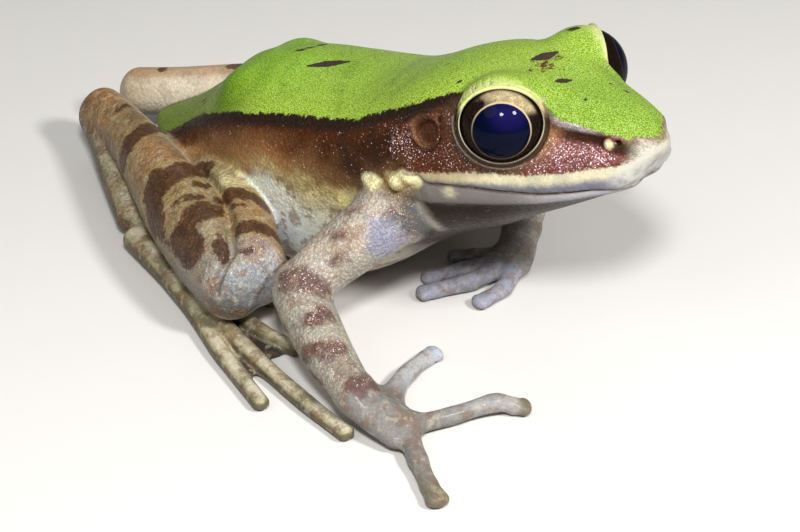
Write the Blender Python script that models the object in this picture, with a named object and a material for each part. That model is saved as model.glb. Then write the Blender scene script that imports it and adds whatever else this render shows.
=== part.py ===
"""Large odorous frog, sitting. Still life-size model, one closed body per named part.

All sizes are in millimetres. The frog heads along -Y, its left side is +X, up is +Z and the floor is z = 0.
The last step moves the model onto the middle of its own footprint and turns millimetres into metres.
"""

import math

import bmesh
import bpy
import numpy as np
from mathutils import Matrix, Vector

# Sizes
MM = 0.001
GAP = 0.3
EYE_RADIUS = 5.3
EYE_CENTRE = (8.5, 0.0, 33.0)
EYE_AXIS = (0.88, -0.46, 0.10)
LID_THICKNESS = 0.6
LID_OPENING = 2.1
TYMPANUM_CENTRE = (12.4, 9.3, 30.0)
TYMPANUM_AXIS = (0.95, 0.06, 0.30)
TYMPANUM_RADIUS = 2.3
NOSTRIL_CENTRE = (4.75, -13.7, 33.6)
NOSTRIL_RADIUS = 0.55
GLANDS = (((13.6, 11.3, 22.4), (1.5, 2.0, 1.3)), ((13.7, 16.4, 20.2), (1.3, 1.6, 1.1)))
WEB_HEIGHT = 0.3
WEB_THICKNESS = 0.6
WEB_REACH = ((0.95, 0.85), (0.95, 0.8), (0.95, 0.7), (0.72, 0.95))

# Sections of head and torso from the tip of the snout to the vent. Each row holds, for one place along the body:
# y, height of the back, then width and height of the edge of the back, of the widest line (the lip on the head)
# and of the edge of the belly, and last the height of the belly.
TRUNK = (
    (-17.6, 33.4, 1.2, 33.1, 1.8, 32.1, 1.2, 31.2, 30.9),
    (-16.5, 34.4, 2.6, 33.7, 4.0, 31.2, 3.0, 29.3, 28.8),
    (-14.6, 35.3, 3.5, 34.5, 6.2, 29.9, 4.7, 27.0, 26.2),
    (-12.0, 36.0, 4.2, 35.1, 8.0, 28.7, 6.4, 25.1, 23.9),
    (-8.0, 36.7, 5.2, 35.7, 9.8, 27.4, 7.9, 22.9, 21.2),
    (-4.0, 37.2, 6.3, 36.1, 11.1, 26.4, 9.0, 20.9, 18.8),
    (0.0, 37.3, 7.4, 36.1, 12.1, 25.5, 9.8, 18.9, 16.4),
    (5.0, 36.5, 8.6, 34.9, 13.2, 24.6, 10.6, 16.5, 13.4),
    (9.5, 35.0, 9.6, 33.1, 13.9, 23.3, 11.0, 13.7, 10.5),
    (14.0, 32.9, 10.2, 30.7, 14.0, 20.8, 10.9, 10.2, 7.2),
    (19.0, 30.2, 10.9, 27.6, 14.3, 17.8, 10.9, 5.7, 2.9),
    (24.5, 27.9, 11.6, 25.0, 15.2, 15.0, 11.0, 2.2, -0.3),
    (30.0, 26.5, 12.0, 23.3, 15.8, 12.9, 11.3, 1.2, -0.9),
    (36.0, 25.5, 11.8, 22.0, 15.4, 11.6, 10.9, 1.1, -0.8),
    (42.0, 24.8, 10.8, 20.8, 13.9, 11.2, 9.6, 1.7, -0.2),
    (48.0, 22.6, 9.2, 18.2, 12.4, 10.8, 8.4, 3.0, 1.2),
    (54.0, 16.8, 7.4, 14.0, 10.8, 9.6, 6.8, 4.4, 3.0),
    (60.0, 11.8, 5.5, 10.4, 7.6, 8.2, 4.9, 5.4, 4.4),
    (64.5, 8.8, 3.4, 8.0, 4.4, 7.0, 3.0, 5.6, 5.1),
    (67.4, 7.0, 1.2, 6.8, 1.6, 6.4, 1.2, 6.1, 5.9),
)
HIP_BUMP = ((5.6, 45.6, 18.6), (4.4, 4.2, 6.0))

# The mouth line as y and height, from in front of the snout to behind the corner of the mouth.
MOUTH = (
    (-26.0, 34.4), (-17.9, 31.4), (-16.5, 30.2), (-14.6, 28.9), (-12.0, 27.7), (-8.0, 26.5), (-4.0, 25.4),
    (0.0, 24.4), (5.0, 23.6), (8.8, 23.4), (10.4, 21.8), (12.0, 20.2), (20.0, 18.5),
)

# Limbs of the right side in the photograph, as rows of x, y, z, width and thickness along the middle of the limb.
RIGHT = {
    "upper_arm": ((-11.0, 12.8, 17.6, 8.4, 9.0), (-15.5, 14.8, 15.0, 8.0, 8.6), (-20.5, 17.0, 12.0, 7.2, 7.6),
                  (-24.6, 18.3, 9.6, 6.6, 6.8)),
    "forearm": ((-25.8, 17.9, 9.2, 6.8, 6.8), (-27.8, 14.2, 7.8, 6.9, 6.8), (-30.2, 9.2, 6.2, 6.3, 6.2),
                (-32.2, 3.8, 4.6, 5.2, 4.8)),
    "hand": ((-32.7, 2.0, 3.9, 5.2, 4.4), (-32.2, -0.8, 2.7, 6.0, 3.8), (-31.6, -3.8, 1.8, 6.8, 3.2)),
    "finger_1": ((-30.0, 0.4, 1.9, 2.4, 2.4), (-28.0, 3.4, 1.5, 2.2, 2.1), (-26.4, 6.8, 1.1, 2.0, 1.9),
                 (-25.6, 8.8, 1.0, 2.4, 1.7)),
    "finger_2": ((-29.6, -1.0, 1.9, 2.9, 2.5), (-26.2, 2.0, 1.7, 2.5, 2.3), (-21.8, 3.5, 1.4, 2.1, 2.1),
                 (-17.4, 4.0, 1.1, 2.1, 1.9), (-16.1, 4.0, 1.0, 2.8, 1.8)),
    "finger_3": ((-29.8, -4.2, 1.6, 2.6, 2.4), (-25.2, -6.4, 1.4, 2.1, 2.1), (-20.4, -9.1, 1.9, 2.2, 2.2),
                 (-18.6, -10.8, 1.2, 2.1, 2.0), (-17.8, -11.6, 1.0, 2.9, 1.8)),
    "finger_4": ((-32.2, -5.4, 1.6, 2.7, 2.4), (-34.6, -8.8, 1.3, 2.3, 2.2), (-37.2, -12.6, 1.1, 2.1, 1.9),
                 (-38.6, -15.0, 1.0, 2.9, 1.8)),
    "thigh": ((-7.6, 53.0, 7.2, 8.0, 8.4), (-11.8, 46.2, 7.8, 9.8, 10.0), (-17.0, 38.2, 8.6, 10.6, 11.4),
              (-21.6, 31.4, 8.7, 9.4, 10.8), (-24.8, 26.6, 8.4, 8.8, 9.8)),
    "shank": ((-28.2, 27.4, 8.0, 8.8, 10.0), (-25.0, 34.4, 8.2, 10.0, 11.2), (-19.9, 44.6, 8.4, 10.2, 11.0),
              (-13.9, 56.4, 8.3, 8.2, 9.2), (-8.9, 67.0, 7.8, 6.6, 7.2), (-6.4, 73.2, 7.2, 6.4, 6.8)),
    "tarsus": ((-6.6, 74.0, 5.8, 5.8, 5.8), (-10.2, 68.4, 4.7, 5.4, 5.0), (-14.8, 61.6, 3.6, 5.0, 4.6),
               (-19.4, 54.2, 2.8, 5.0, 4.2)),
}

# Toes of the right foot, from the inner one to the outer one.
RIGHT_TOES = (
    ((-19.6, 51.0, 1.9, 2.6, 2.6), (-16.6, 40.6, 1.4, 2.2, 2.1), (-14.8, 35.0, 1.0, 2.0, 1.8)),
    ((-20.4, 50.8, 2.0, 2.8, 2.8), (-20.4, 38.6, 1.5, 2.4, 2.2), (-20.4, 28.0, 1.0, 2.1, 1.8)),
    ((-21.2, 50.6, 2.1, 3.0, 3.0), (-24.4, 36.0, 1.7, 2.6, 2.4), (-26.6, 25.4, 1.3, 2.2, 2.0),
     (-26.6, 18.2, 1.0, 2.1, 1.8)),
    ((-22.0, 50.8, 2.2, 3.2, 3.1), (-26.6, 36.0, 1.8, 2.7, 2.6), (-31.0, 22.6, 1.4, 2.3, 2.2),
     (-34.2, 10.0, 1.1, 2.2, 1.9), (-35.8, 1.6, 1.0, 2.3, 1.8)),
    ((-22.6, 51.2, 2.1, 3.0, 3.0), (-27.4, 37.4, 1.7, 2.5, 2.4), (-33.4, 24.6, 1.2, 2.2, 2.0),
     (-37.9, 13.6, 1.0, 2.2, 1.8)),
)

# The left arm reaches in under the chest, with the fingers to the right.
LEFT_ARM = {
    "upper_arm": ((11.0, 12.8, 17.6, 8.4, 9.0), (15.0, 15.0, 15.0, 8.0, 8.6), (19.4, 17.4, 12.0, 7.2, 7.6),
                  (22.8, 19.2, 9.6, 6.6, 6.8)),
    "forearm": ((22.8, 18.8, 8.8, 6.8, 6.8), (20.0, 16.6, 7.2, 7.0, 6.4), (16.0, 13.8, 5.6, 6.2, 5.6),
                (11.8, 11.2, 4.2, 5.0, 4.4)),
    "hand": ((10.2, 10.4, 3.7, 4.8, 4.2), (7.8, 9.4, 2.5, 5.6, 3.6), (5.6, 8.8, 1.8, 6.2, 3.0)),
    "finger_1": ((6.4, 11.4, 1.7, 2.3, 2.2), (4.6, 14.2, 1.3, 2.1, 2.0), (3.4, 16.4, 1.0, 2.4, 1.7)),
    "finger_2": ((4.4, 10.6, 1.7, 2.5, 2.3), (1.0, 13.2, 1.3, 2.2, 2.0), (-2.2, 15.2, 1.0, 2.1, 1.8),
                 (-3.0, 15.6, 1.0, 2.7, 1.8)),
    "finger_3": ((3.6, 9.2, 1.7, 2.6, 2.4), (-0.6, 10.4, 1.4, 2.3, 2.2), (-5.0, 13.0, 1.1, 2.1, 1.9),
                 (-6.2, 13.8, 1.0, 2.8, 1.8)),
    "finger_4": ((4.0, 7.2, 1.7, 2.5, 2.3), (1.0, 6.2, 1.3, 2.2, 2.0), (-2.0, 6.6, 1.0, 2.1, 1.8),
                 (-3.0, 6.8, 1.0, 2.7, 1.8)),
}

# The left hind leg mirrors the right one, with the heel nearer to the middle and the foot further back.
LEFT_SHANK = ((28.2, 27.2, 8.0, 8.8, 10.0), (24.6, 34.6, 8.2, 10.0, 11.2), (18.4, 45.4, 8.4, 10.2, 11.0),
              (10.8, 57.6, 8.3, 8.2, 9.2), (4.4, 67.8, 7.8, 6.6, 7.2), (1.3, 73.6, 7.2, 6.4, 6.8))
LEFT_TARSUS = ((2.2, 74.6, 5.8, 5.8, 5.8), (6.8, 71.0, 4.7, 5.4, 5.0), (12.4, 66.0, 3.6, 5.0, 4.6),
               (18.0, 60.8, 2.8, 5.0, 4.2))
LEFT_FOOT_SHIFT = (-1.6, 6.6)

# Colour, roughness and kind of surface of the parts, by the first word of their names.
SURFACES = {
    "head": ((0.27, 0.42, 0.05), 0.42),
    "lower": ((0.62, 0.55, 0.48), 0.42),
    "torso": ((0.30, 0.40, 0.07), 0.42),
    "eye": ((0.02, 0.02, 0.04), 0.08),
    "tympanum": ((0.23, 0.11, 0.06), 0.40),
    "upper": ((0.55, 0.46, 0.38), 0.42),
    "forearm": ((0.50, 0.38, 0.27), 0.42),
    "hand": ((0.62, 0.58, 0.52), 0.42),
    "finger": ((0.62, 0.58, 0.44), 0.42),
    "thigh": ((0.36, 0.24, 0.12), 0.42),
    "shank": ((0.36, 0.24, 0.12), 0.42),
    "tarsus": ((0.42, 0.34, 0.18), 0.42),
    "foot": ((0.42, 0.36, 0.18), 0.42),
}


def smooth_rows(table, steps, closed=False):
    """Return rows along a smooth curve through the rows of a table."""
    rows = np.array(table, float)
    count = len(rows)
    if closed:
        slope = (np.roll(rows, -1, axis=0) - np.roll(rows, 1, axis=0)) / 2
        t = np.arange(steps) * count / steps
        first = t.astype(int) % count
    else:
        slope = np.gradient(rows, axis=0)
        t = np.linspace(0, count - 1, steps)
        first = np.minimum(t.astype(int), count - 2)
    second = (first + 1) % count
    f = (t - np.floor(t) if closed else t - first)[:, None]
    return (
        (2 * f**3 - 3 * f**2 + 1) * rows[first]
        + (f**3 - 2 * f**2 + f) * slope[first]
        + (3 * f**2 - 2 * f**3) * rows[second]
        + (f**3 - f**2) * slope[second]
    )


def make_mesh(name, rings, ends):
    """Join rings of points into one closed body with a point at each end."""
    mesh = bmesh.new()
    rows = [[mesh.verts.new(point) for point in ring] for ring in rings]
    first, last = (mesh.verts.new(point) for point in ends)
    around = len(rings[0])
    for low, high in zip(rows, rows[1:]):
        for k in range(around):
            after = (k + 1) % around
            mesh.faces.new((low[k], low[after], high[after], high[k]))
    for k in range(around):
        after = (k + 1) % around
        mesh.faces.new((first, rows[0][after], rows[0][k]))
        mesh.faces.new((last, rows[-1][k], rows[-1][after]))
    return finish_mesh(name, mesh)


def finish_mesh(name, mesh):
    """Turn a bmesh into an object with all faces outward."""
    bmesh.ops.recalc_face_normals(mesh, faces=mesh.faces)
    data = bpy.data.meshes.new(name)
    mesh.to_mesh(data)
    mesh.free()
    body = bpy.data.objects.new(name, data)
    bpy.context.scene.collection.objects.link(body)
    return body


def trunk_section(row, around):
    """Return one ring of head or torso from a row of the table of sections."""
    y, top, x_back, z_back, x_side, z_side, x_belly, z_belly, bottom = row
    half = ((x_belly, z_belly), (x_side, z_side), (x_back, z_back))
    loop = [(0.0, bottom), *half, (0.0, top)]
    loop += [(-x, z) for x, z in reversed(half)]
    return np.array([(x, y, z) for x, z in smooth_rows(loop, around, closed=True)])


def skin_width(y, z):
    """Return half the width of the head or torso at a place along it and a height."""
    row = [np.interp(y, [r[0] for r in TRUNK], [r[k] for r in TRUNK]) for k in range(9)]
    ring = trunk_section(row, 96)
    half = ring[ring[:, 0] >= 0]
    order = np.argsort(half[:, 2])
    return float(np.interp(z, half[order, 2], half[order, 0]))


def push_out(points, centre, radii, reach):
    """Swell points softly so that they lie outside a round bulge."""
    offset = (points - np.array(centre)) / np.array(radii)
    distance = np.maximum(np.linalg.norm(offset, axis=1), 1e-6)
    blend = np.logaddexp(0, (1 - distance) * reach) / reach
    return points + (points - np.array(centre)) * (blend / distance)[:, None]


def make_trunk(steps, around):
    """Make head and torso in one piece with bulges for eyelids, shoulders and hips."""
    rings = [trunk_section(row, around) for row in smooth_rows(TRUNK, steps)]
    points = np.concatenate(rings)
    for side in (-1, 1):
        x, y, z = EYE_CENTRE
        size = EYE_RADIUS + GAP + LID_THICKNESS
        points = push_out(points, (side * (x - 0.6), y + 0.2, z - 0.2), (size - 0.7, size, size - 0.2), 9)
        centre, radii = HIP_BUMP
        points = push_out(points, (side * centre[0], *centre[1:]), radii, 6)
    rings = points.reshape(len(rings), around, 3)
    ends = ((0.0, TRUNK[0][0] - 0.3, 32.6), (0.0, TRUNK[-1][0] + 0.4, 6.5))
    return make_mesh("trunk", rings, ends)


def make_tube(name, table, steps=10, around=14, cap=0.9):
    """Make a limb or digit from rows of x, y, z, width and thickness, with rounded ends."""
    rows = smooth_rows(table, steps)
    path = rows[:, :3]
    along = np.gradient(path, axis=0)
    along /= np.linalg.norm(along, axis=1)[:, None]
    across = np.cross(along, (0.0, 0.0, 1.0))
    across /= np.linalg.norm(across, axis=1)[:, None]
    above = np.cross(across, along)
    angle = np.arange(around) * 2 * math.pi / around

    def ring(k, scale, shift):
        wide = across[k] * rows[k, 3] / 2 * scale
        thick = above[k] * rows[k, 4] / 2 * scale
        return path[k] + shift + np.outer(np.cos(angle), wide) + np.outer(np.sin(angle), thick)

    last = len(rows) - 1
    start = along[0] * rows[0, 3:].mean() / 2 * cap
    end = along[last] * rows[last, 3:].mean() / 2 * cap
    rings = [ring(k, 1.0, 0.0) for k in range(len(rows))]
    for turn in (0.6, 1.1):
        rings.insert(0, ring(0, math.cos(turn), -start * math.sin(turn)))
        rings.append(ring(last, math.cos(turn), end * math.sin(turn)))
    return make_mesh(name, rings, (path[0] - start, path[last] + end))


def make_ball(name, centre, radii, axis=(0.0, 0.0, 1.0), around=20, rings=12):
    """Make an ellipsoid whose last radius lies along the axis."""
    mesh = bmesh.new()
    bmesh.ops.create_uvsphere(mesh, u_segments=around, v_segments=rings, radius=1.0)
    turn = Vector(axis).to_track_quat("Z", "Y").to_matrix().to_4x4()
    place = Matrix.Translation(Vector(centre)) @ turn @ Matrix.Diagonal((*radii, 1.0))
    bmesh.ops.transform(mesh, matrix=place, verts=mesh.verts)
    return finish_mesh(name, mesh)


def make_block(name, low, high):
    """Make a plain block between two corners."""
    mesh = bmesh.new()
    bmesh.ops.create_cube(mesh, size=1.0)
    middle = [(a + b) / 2 for a, b in zip(low, high)]
    size = [b - a for a, b in zip(low, high)]
    place = Matrix.Translation(Vector(middle)) @ Matrix.Diagonal((*size, 1.0))
    bmesh.ops.transform(mesh, matrix=place, verts=mesh.verts)
    return finish_mesh(name, mesh)


def make_slab(name, line, half_gap, reach):
    """Make a thin sheet across the body from a line of y and height."""
    line = np.array(line, float)
    slope = np.gradient(line, axis=0)
    slope /= np.linalg.norm(slope, axis=1)[:, None]
    normal = np.stack([-slope[:, 1], slope[:, 0]], axis=1)
    outline = np.concatenate([line + normal * half_gap, (line - normal * half_gap)[::-1]])
    mesh = bmesh.new()
    near = [mesh.verts.new((-reach, y, z)) for y, z in outline]
    face = mesh.faces.new(near)
    swept = bmesh.ops.extrude_face_region(mesh, geom=[face])
    moved = [item for item in swept["geom"] if isinstance(item, bmesh.types.BMVert)]
    bmesh.ops.translate(mesh, vec=(2 * reach, 0.0, 0.0), verts=moved)
    bmesh.ops.triangulate(mesh, faces=mesh.faces)
    return finish_mesh(name, mesh)


def combine(body, other, operation, solver="MANIFOLD"):
    """Join or cut two bodies."""
    step = body.modifiers.new("step", "BOOLEAN")
    step.operation = operation
    step.solver = solver
    step.object = other
    view = bpy.context.evaluated_depsgraph_get()
    data = bpy.data.meshes.new_from_object(body.evaluated_get(view))
    body.modifiers.clear()
    old = body.data
    body.data = data
    bpy.data.meshes.remove(old)
    remove(other)
    return body


def remove(body):
    """Take a helper body out of the scene."""
    data = body.data
    bpy.data.objects.remove(body)
    bpy.data.meshes.remove(data)


def pieces_of(body):
    """Split a body into its closed pieces, each as a set of faces, largest first."""
    mesh = bmesh.new()
    mesh.from_mesh(body.data)
    bmesh.ops.triangulate(mesh, faces=mesh.faces)
    left = set(mesh.faces)
    found = []
    while left:
        stack = [left.pop()]
        piece = set(stack)
        while stack:
            for edge in stack.pop().edges:
                for face in edge.link_faces:
                    if face in left:
                        left.remove(face)
                        piece.add(face)
                        stack.append(face)
        found.append(piece)

    def volume(piece):
        total = 0.0
        for face in piece:
            a, b, c = (vert.co for vert in face.verts)
            total += a.dot(b.cross(c)) / 6
        return total

    found.sort(key=volume, reverse=True)
    return mesh, found


def keep_largest(body):
    """Keep only the largest closed piece of a body."""
    mesh, found = pieces_of(body)
    spare = [face for piece in found[1:] for face in piece]
    bmesh.ops.delete(mesh, geom=spare, context="FACES")
    loose = [vert for vert in mesh.verts if not vert.link_faces]
    bmesh.ops.delete(mesh, geom=loose, context="VERTS")
    mesh.to_mesh(body.data)
    mesh.free()
    return body


def copy_of(body, name, swell=0.0):
    """Copy a body, swollen along its normals if asked."""
    mesh = bmesh.new()
    mesh.from_mesh(body.data)
    mesh.normal_update()
    for vert, normal in [(vert, vert.normal.copy()) for vert in mesh.verts]:
        vert.co += normal * swell
    return finish_mesh(name, mesh)


def cut_clear(body, others):
    """Cut a body back so that a thin gap stays between it and each of the others."""
    for other in others:
        combine(body, copy_of(other, "cutter", GAP), "DIFFERENCE")
        keep_largest(body)
    return body


def cut_floor(body):
    """Make a small flat where a body goes below the floor."""
    return combine(body, make_block("floor", (-90, -90, -30), (90, 120, 0.0)), "DIFFERENCE")


def to_left(table, shift=(0.0, 0.0)):
    """Mirror rows that start with x and y, then shift them."""
    return tuple((shift[0] - x, y + shift[1], *rest) for x, y, *rest in table)


def make_face(trunk):
    """Add lips, lids, glands and folds to the trunk, and cut the eye sockets, ears and nostrils."""
    lip = [(skin_width(y, z + 0.9) - 0.25, y, z + 0.9, 1.1, 1.5) for y, z in MOUTH[2:10]]
    front = (0.0, TRUNK[0][0] - 0.1, MOUTH[1][1] + 0.7, 1.1, 1.5)
    left_lip = [(-x, *rest) for x, *rest in lip]
    combine(trunk, make_tube("lip", lip[::-1] + [front] + left_lip, 34, 7), "UNION")
    for side in (-1, 1):
        fold = ((12.0, 5.4, 34.2), (12.0, 8.8, 33.3), (12.6, 12.0, 30.4), (13.3, 13.2, 27.4))
        rows = [(side * x, y, z, 1.5, 1.5) for x, y, z in fold]
        combine(trunk, make_tube("fold", rows, 7, 8), "UNION")
        for centre, radii in GLANDS:
            gland = make_ball("gland", (side * centre[0], *centre[1:]), radii, around=12, rings=8)
            combine(trunk, gland, "UNION")
    for side in (-1, 1):
        centre = Vector((side * EYE_CENTRE[0], *EYE_CENTRE[1:]))
        axis = Vector((side * EYE_AXIS[0], *EYE_AXIS[1:])).normalized()
        lid = [EYE_RADIUS + GAP + LID_THICKNESS] * 3
        combine(trunk, make_ball("lid", centre, lid, axis, 24, 16), "UNION")
        outer = centre + axis * (LID_OPENING + 6.0)
        turn = axis.to_track_quat("Z", "Y").to_matrix().to_4x4()
        mesh = bmesh.new()
        bmesh.ops.create_cone(
            mesh, cap_ends=True, segments=32, radius1=7.4, radius2=9.0, depth=12.0,
            matrix=Matrix.Translation(outer) @ turn,
        )
        combine(trunk, finish_mesh("opening", mesh), "DIFFERENCE")
        socket = [EYE_RADIUS + GAP] * 3
        combine(trunk, make_ball("socket", centre, socket, axis, 24, 16), "DIFFERENCE")
        ear = Vector((side * TYMPANUM_CENTRE[0], *TYMPANUM_CENTRE[1:]))
        ear_axis = (side * TYMPANUM_AXIS[0], *TYMPANUM_AXIS[1:])
        wide = TYMPANUM_RADIUS + GAP
        combine(trunk, make_ball("ear", ear, (wide, wide, 1.3), ear_axis, 18, 8), "DIFFERENCE")
        nostril = (side * NOSTRIL_CENTRE[0], *NOSTRIL_CENTRE[1:])
        combine(trunk, make_ball("nostril", nostril, [NOSTRIL_RADIUS] * 3, around=10, rings=6), "DIFFERENCE")
    return trunk


def split_trunk(trunk):
    """Part head, lower jaw and torso with thin gaps along the neck and the mouth."""
    neck = ((17.4, 60.0), (15.6, 34.0), (14.4, 22.0), (13.2, 8.0), (11.6, -20.0))
    neck_gap = make_slab("neck", neck, GAP / 2, 40)
    mouth_gap = make_slab("mouth", MOUTH, GAP / 2, 40)
    combine(trunk, neck_gap, "DIFFERENCE")
    torso = select_piece(trunk, "torso", lambda centre: centre.y > 20)
    front = select_piece(trunk, "front", lambda centre: centre.y < 12)
    remove(trunk)
    combine(front, mouth_gap, "DIFFERENCE")
    head = select_piece(front, "head", lambda centre: centre.z > 29)
    jaw = select_piece(front, "lower_jaw", lambda centre: centre.z <= 27)
    remove(front)
    return head, jaw, torso


def select_piece(body, name, rule):
    """Copy the largest closed piece whose middle follows a rule."""
    mesh, found = pieces_of(body)
    chosen = None
    for piece in found:
        middle = Vector()
        for face in piece:
            middle += face.calc_center_median()
        if chosen is None and rule(middle / len(piece)):
            chosen = piece
    spare = [face for piece in found for face in piece if piece is not chosen]
    bmesh.ops.delete(mesh, geom=spare, context="FACES")
    loose = [vert for vert in mesh.verts if not vert.link_faces]
    bmesh.ops.delete(mesh, geom=loose, context="VERTS")
    return finish_mesh(name, mesh)


def make_web(name, left, right, reach, across=3, along=5):
    """Make the thin web between two toes, with a hollow outer edge."""
    lines = [smooth_rows(table, 40)[:, :3] for table in (left, right)]
    where = np.linspace(0, 1, 40)

    def point(u, v):
        end = reach[0] * (1 - u) + reach[1] * u - 0.16 * math.sin(math.pi * u)
        spots = [[np.interp(v * end, where, line[:, k]) for k in range(2)] for line in lines]
        return np.array(spots[0]) * (1 - u) + np.array(spots[1]) * u

    mesh = bmesh.new()
    layers = []
    for height in (WEB_HEIGHT, WEB_HEIGHT + WEB_THICKNESS):
        layers.append([
            [mesh.verts.new((*point(i / (across - 1), j / (along - 1)), height)) for j in range(along)]
            for i in range(across)
        ])
    low, high = layers
    for grid in layers:
        for i in range(across - 1):
            for j in range(along - 1):
                mesh.faces.new((grid[i][j], grid[i + 1][j], grid[i + 1][j + 1], grid[i][j + 1]))
    rim = [(i, 0) for i in range(across)] + [(across - 1, j) for j in range(1, along)]
    rim += [(i, along - 1) for i in range(across - 2, -1, -1)] + [(0, j) for j in range(along - 2, 0, -1)]
    for (i, j), (p, q) in zip(rim, rim[1:] + rim[:1]):
        mesh.faces.new((low[i][j], low[p][q], high[p][q], high[i][j]))
    return finish_mesh(name, mesh)


def make_foot(name, toes):
    """Make a webbed foot from its toes."""
    foot = make_tube(name, toes[3], 10, 8)
    for table in (toes[4], toes[2], toes[1], toes[0]):
        combine(foot, make_tube("toe", table, 8, 8), "UNION")
    for left, right, reach in zip(toes, toes[1:], WEB_REACH):
        combine(foot, make_web("web", left, right, reach), "UNION")
    return keep_largest(foot)


def make_arm(side, table, trunk_parts):
    """Make upper arm, forearm, hand and fingers of one side."""
    upper = cut_clear(make_tube(f"upper_arm_{side}", table["upper_arm"], 7, 14), trunk_parts)
    forearm = cut_clear(make_tube(f"forearm_{side}", table["forearm"], 7, 14), [upper, *trunk_parts])
    hand = cut_clear(make_tube(f"hand_{side}", table["hand"], 5, 12), [forearm])
    cut_floor(hand)
    parts = [upper, forearm, hand]
    for number in (3, 2, 4, 1):
        key = f"finger_{number}"
        finger = cut_clear(make_tube(f"{key}_{side}", table[key], 8, 8), [hand, *parts[3:]])
        parts.append(keep_largest(cut_floor(finger)))
    return parts


def make_leg(side, table, toes, trunk_parts):
    """Make thigh, shank, tarsus and foot of one side."""
    thigh = cut_clear(make_tube(f"thigh_{side}", table["thigh"], 9, 14), trunk_parts)
    shank = cut_clear(make_tube(f"shank_{side}", table["shank"], 11, 14), [thigh, *trunk_parts])
    tarsus = cut_clear(make_tube(f"tarsus_{side}", table["tarsus"], 7, 12), [shank, thigh, *trunk_parts])
    foot = cut_clear(make_foot(f"foot_{side}", toes), [tarsus, shank, thigh])
    return [thigh, shank, cut_floor(tarsus), keep_largest(cut_floor(foot))]


def finish_part(part, shift):
    """Move a part to the model's own place in metres, shade it smooth and give it its surface."""
    keep_largest(part)
    mesh = bmesh.new()
    mesh.from_mesh(part.data)
    bmesh.ops.dissolve_degenerate(mesh, dist=0.00005, edges=mesh.edges)
    bmesh.ops.dissolve_limit(mesh, angle_limit=math.radians(1.5), verts=mesh.verts, edges=mesh.edges)
    bmesh.ops.triangulate(mesh, faces=mesh.faces)
    bmesh.ops.recalc_face_normals(mesh, faces=mesh.faces)
    place = Matrix.Scale(MM, 4) @ Matrix.Translation(shift)
    bmesh.ops.transform(mesh, matrix=place, verts=mesh.verts)
    middle = sum((vert.co for vert in mesh.verts), Vector()) / len(mesh.verts)
    bmesh.ops.translate(mesh, vec=-middle, verts=mesh.verts)
    for face in mesh.faces:
        face.smooth = True
    mesh.to_mesh(part.data)
    mesh.free()
    part.location = middle
    colour, roughness = SURFACES[part.name.split("_")[0]]
    surface = bpy.data.materials.new(part.name)
    surface.use_nodes = True
    shader = surface.node_tree.nodes["Principled BSDF"]
    shader.inputs["Base Color"].default_value = (*colour, 1.0)
    shader.inputs["Roughness"].default_value = roughness
    shader.inputs["Metallic"].default_value = 0.0
    part.data.materials.clear()
    part.data.materials.append(surface)


def main():
    """Build the frog."""
    for body in list(bpy.data.objects):
        bpy.data.objects.remove(body)
    trunk = make_face(make_trunk(40, 28))
    cut_floor(trunk)
    head, jaw, torso = split_trunk(trunk)
    parts = [head, jaw, torso]
    for side, sign in (("right", -1), ("left", 1)):
        centre = (sign * EYE_CENTRE[0], *EYE_CENTRE[1:])
        axis = (sign * EYE_AXIS[0], *EYE_AXIS[1:])
        parts.append(make_ball(f"eye_{side}", centre, [EYE_RADIUS] * 3, axis, 20, 12))
        ear = (sign * TYMPANUM_CENTRE[0], *TYMPANUM_CENTRE[1:])
        ear_axis = (sign * TYMPANUM_AXIS[0], *TYMPANUM_AXIS[1:])
        radii = (TYMPANUM_RADIUS, TYMPANUM_RADIUS, 1.0)
        parts.append(make_ball(f"tympanum_{side}", ear, radii, ear_axis, 18, 8))
    trunk_parts = [torso, jaw, head]
    parts += make_arm("right", RIGHT, trunk_parts)
    parts += make_arm("left", LEFT_ARM, trunk_parts)
    parts += make_leg("right", RIGHT, RIGHT_TOES, trunk_parts)
    left_leg = {"thigh": to_left(RIGHT["thigh"]), "shank": LEFT_SHANK, "tarsus": LEFT_TARSUS}
    left_toes = [to_left(rows, LEFT_FOOT_SHIFT) for rows in RIGHT_TOES]
    parts += make_leg("left", left_leg, left_toes, trunk_parts)
    points = np.array([vert.co for part in parts for vert in part.data.vertices])
    low, high = points.min(axis=0), points.max(axis=0)
    shift = Vector((-(low[0] + high[0]) / 2, -(low[1] + high[1]) / 2, -low[2]))
    for part in parts:
        finish_part(part, shift)


main()
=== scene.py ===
"""Large odorous frog, sitting: one skin with its colours and grain, two eyes, a plain floor and soft light.

Shapes are worked out in millimetres with the middle between the two eyes 33 mm above the origin, as the solids
were, and end in metres where the solids are. The frog heads along -Y, its left side is +X and up is +Z.
"""

import math

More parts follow.
